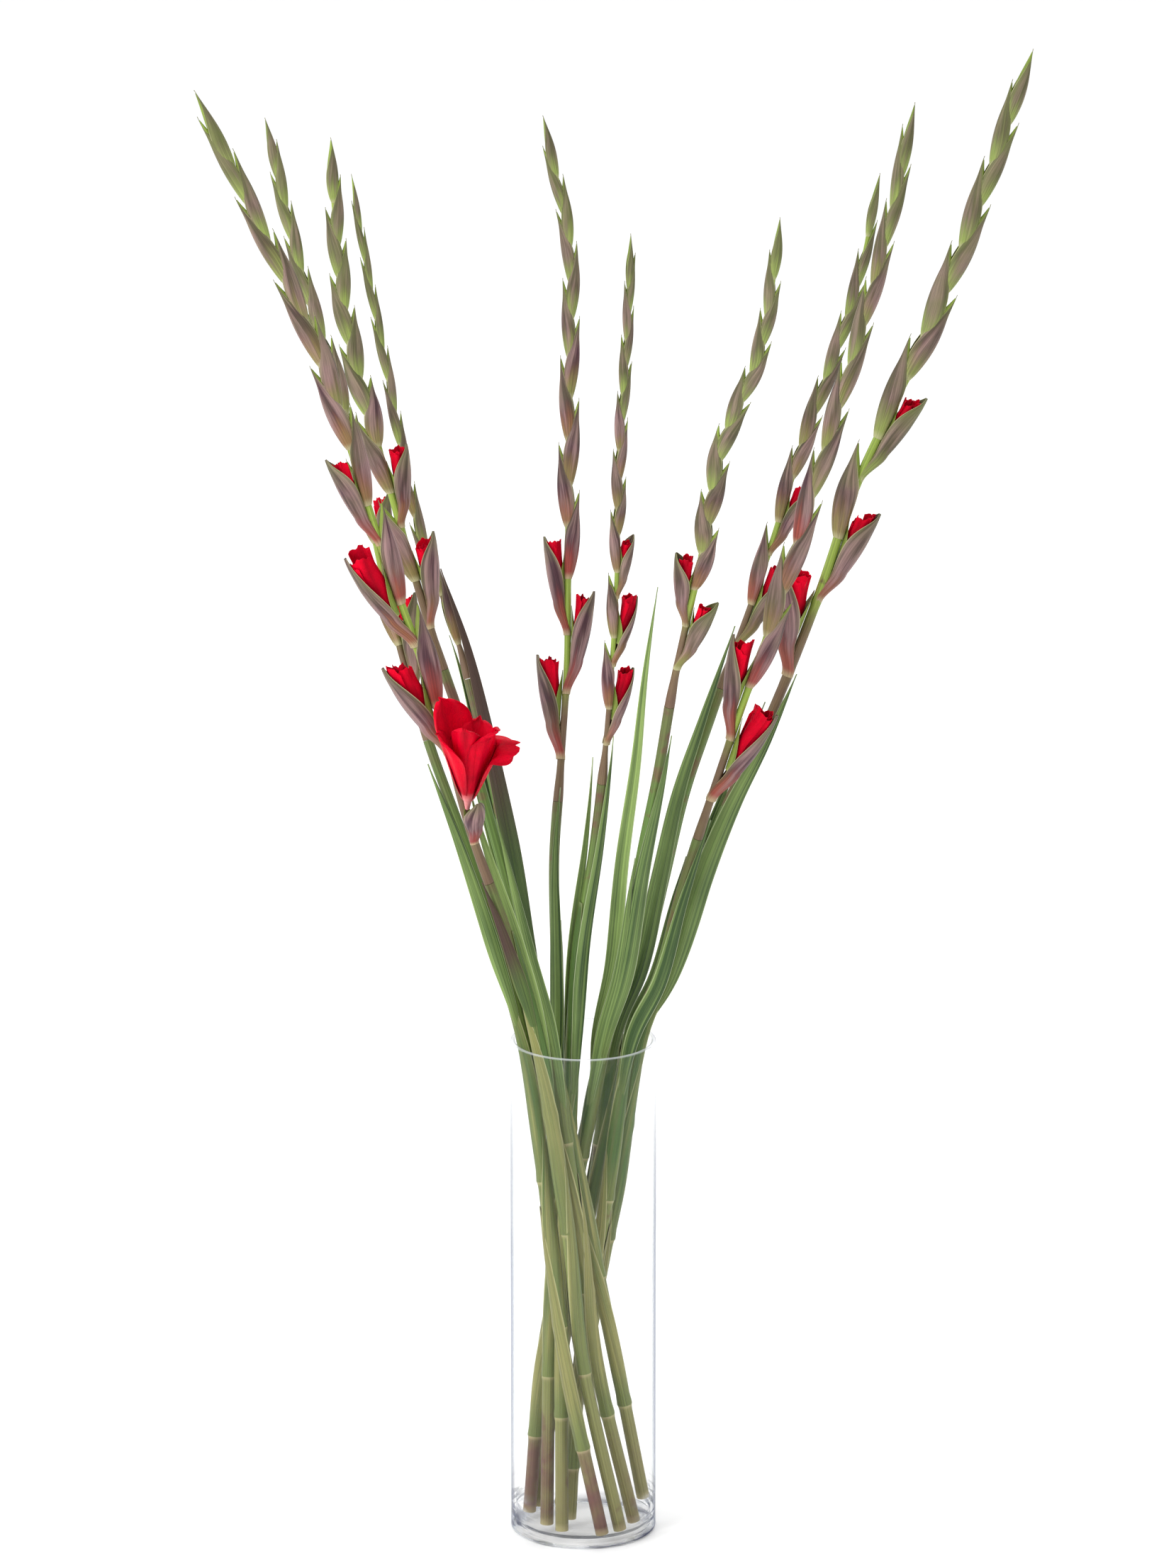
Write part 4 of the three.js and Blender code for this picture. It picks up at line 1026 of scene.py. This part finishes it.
flower = flowerSettings
for stem in stems:
    patches = [rachisPatch(stem)]
    for k, bract in enumerate(stem["bracts"]):
        size = bract["bloom"]
        patches += openBract(stem, bract, size, k) if size else closedBract(stem, bract, k)
    if stem["name"] == flower["stem"]:
        facing = dict(stem, rank=np.array(flower["facing"]))
        patches += openBract(facing, dict(flower["bract"], share=0.0), flower["bractSize"], 30)
        flowerBase = beside(facing, flower["at"], flower["forward"], 0.0)
    finishes = [looks[key] for key in ("bract", "inner", "rachis")]
    makePiece("spikeBracts_" + stem["name"], patches, finishes, "spike_" + stem["name"])
print("flower stems and bracts made")

for stem in stems:
    for k, (place, size) in enumerate(stem["blooms"]):
        patches = floretPatches(stem, stem["bracts"][place], size, k + 40)
        makePiece("floretRed_%s_%d" % (stem["name"], k + 1), patches, [looks["petal"]],
                  "floret_%s_%d" % (stem["name"], k + 1))
patches = [flowerPetal(flowerBase, petal, k) for k, petal in enumerate(flowerPetals)]
makePiece("openFlowerRed", [flowerTube(flowerBase)] + patches, [looks["petal"]], "open_flower")
print("florets and open flower made")

# Places and sizes in metres. A light is its name, place, target, size and power
stageSettings = {
    "floorSize": 40.0, "floorDrop": 0.0005, "floorColour": (0.97, 0.97, 0.97, 1), "floorRoughness": 0.9,
    "world": (1.0, 1.0, 1.0, 1), "worldStrength": 1.03,
    "target": (0.0037, 0.0, 0.6127), "camera": (0.0037, -7.7015, 2.7775), "lens": 235.4,
    "lights": [("softKey", (-2.6, -2.8, 3.4), (0, 0, 0.6), 2.0, 45),
               ("softBack", (0.8, 3.2, 3.0), (0, 0, 0.7), 2.6, 30),
               ("softSide", (-1.5, -0.9, 1.1), (0, 0, 0.8), 0.8, 12)],
}


# A wide square floor just under the vase, and an even white world
def makeStage():
    s = stageSettings
    half = s["floorSize"] / 2
    corners = [(x * half, y * half, -s["floorDrop"]) for x, y in ((-1, -1), (1, -1), (1, 1), (-1, 1))]
    mesh = bpy.data.meshes.new("studioFloor")
    mesh.from_pydata(corners, [], [(0, 1, 2, 3)])
    paint = bpy.data.materials.new("floorPaint")
    paint.use_nodes = True
    setInputs(paint.node_tree.nodes["Principled BSDF"],
              {"Base Color": s["floorColour"], "Roughness": s["floorRoughness"]})
    mesh.materials.append(paint)
    addObject("studioFloor", mesh)
    world = bpy.data.worlds.new("studioWorld")
    world.use_nodes = True
    setInputs(world.node_tree.nodes["Background"], {"Color": s["world"], "Strength": s["worldStrength"]})
    scene.world = world


def addLight(name, place, target, size, power):
    data = bpy.data.lights.new(name, "AREA")
    data.size = size
    data.energy = power
    lamp = addObject(name, data)
    lamp.location = place
    aim(lamp, target)


# Turns an object so that its -Z looks at a point and its Y is up
def aim(thing, target):
    thing.rotation_euler = (Vector(target) - Vector(thing.location)).to_track_quat("-Z", "Y").to_euler()


def addCamera():
    s = stageSettings
    data = bpy.data.cameras.new("photoCamera")
    data.sensor_fit = "VERTICAL"
    data.sensor_height = 36.0
    data.lens = s["lens"]
    data.clip_end = 60.0
    camera = addObject("photoCamera", data)
    camera.location = s["camera"]
    aim(camera, s["target"])
    scene.camera = camera


makeStage()
for light in stageSettings["lights"]:
    addLight(*light)
addCamera()
scene.view_settings.view_transform = "Standard"
print("stage, lights and camera ready")
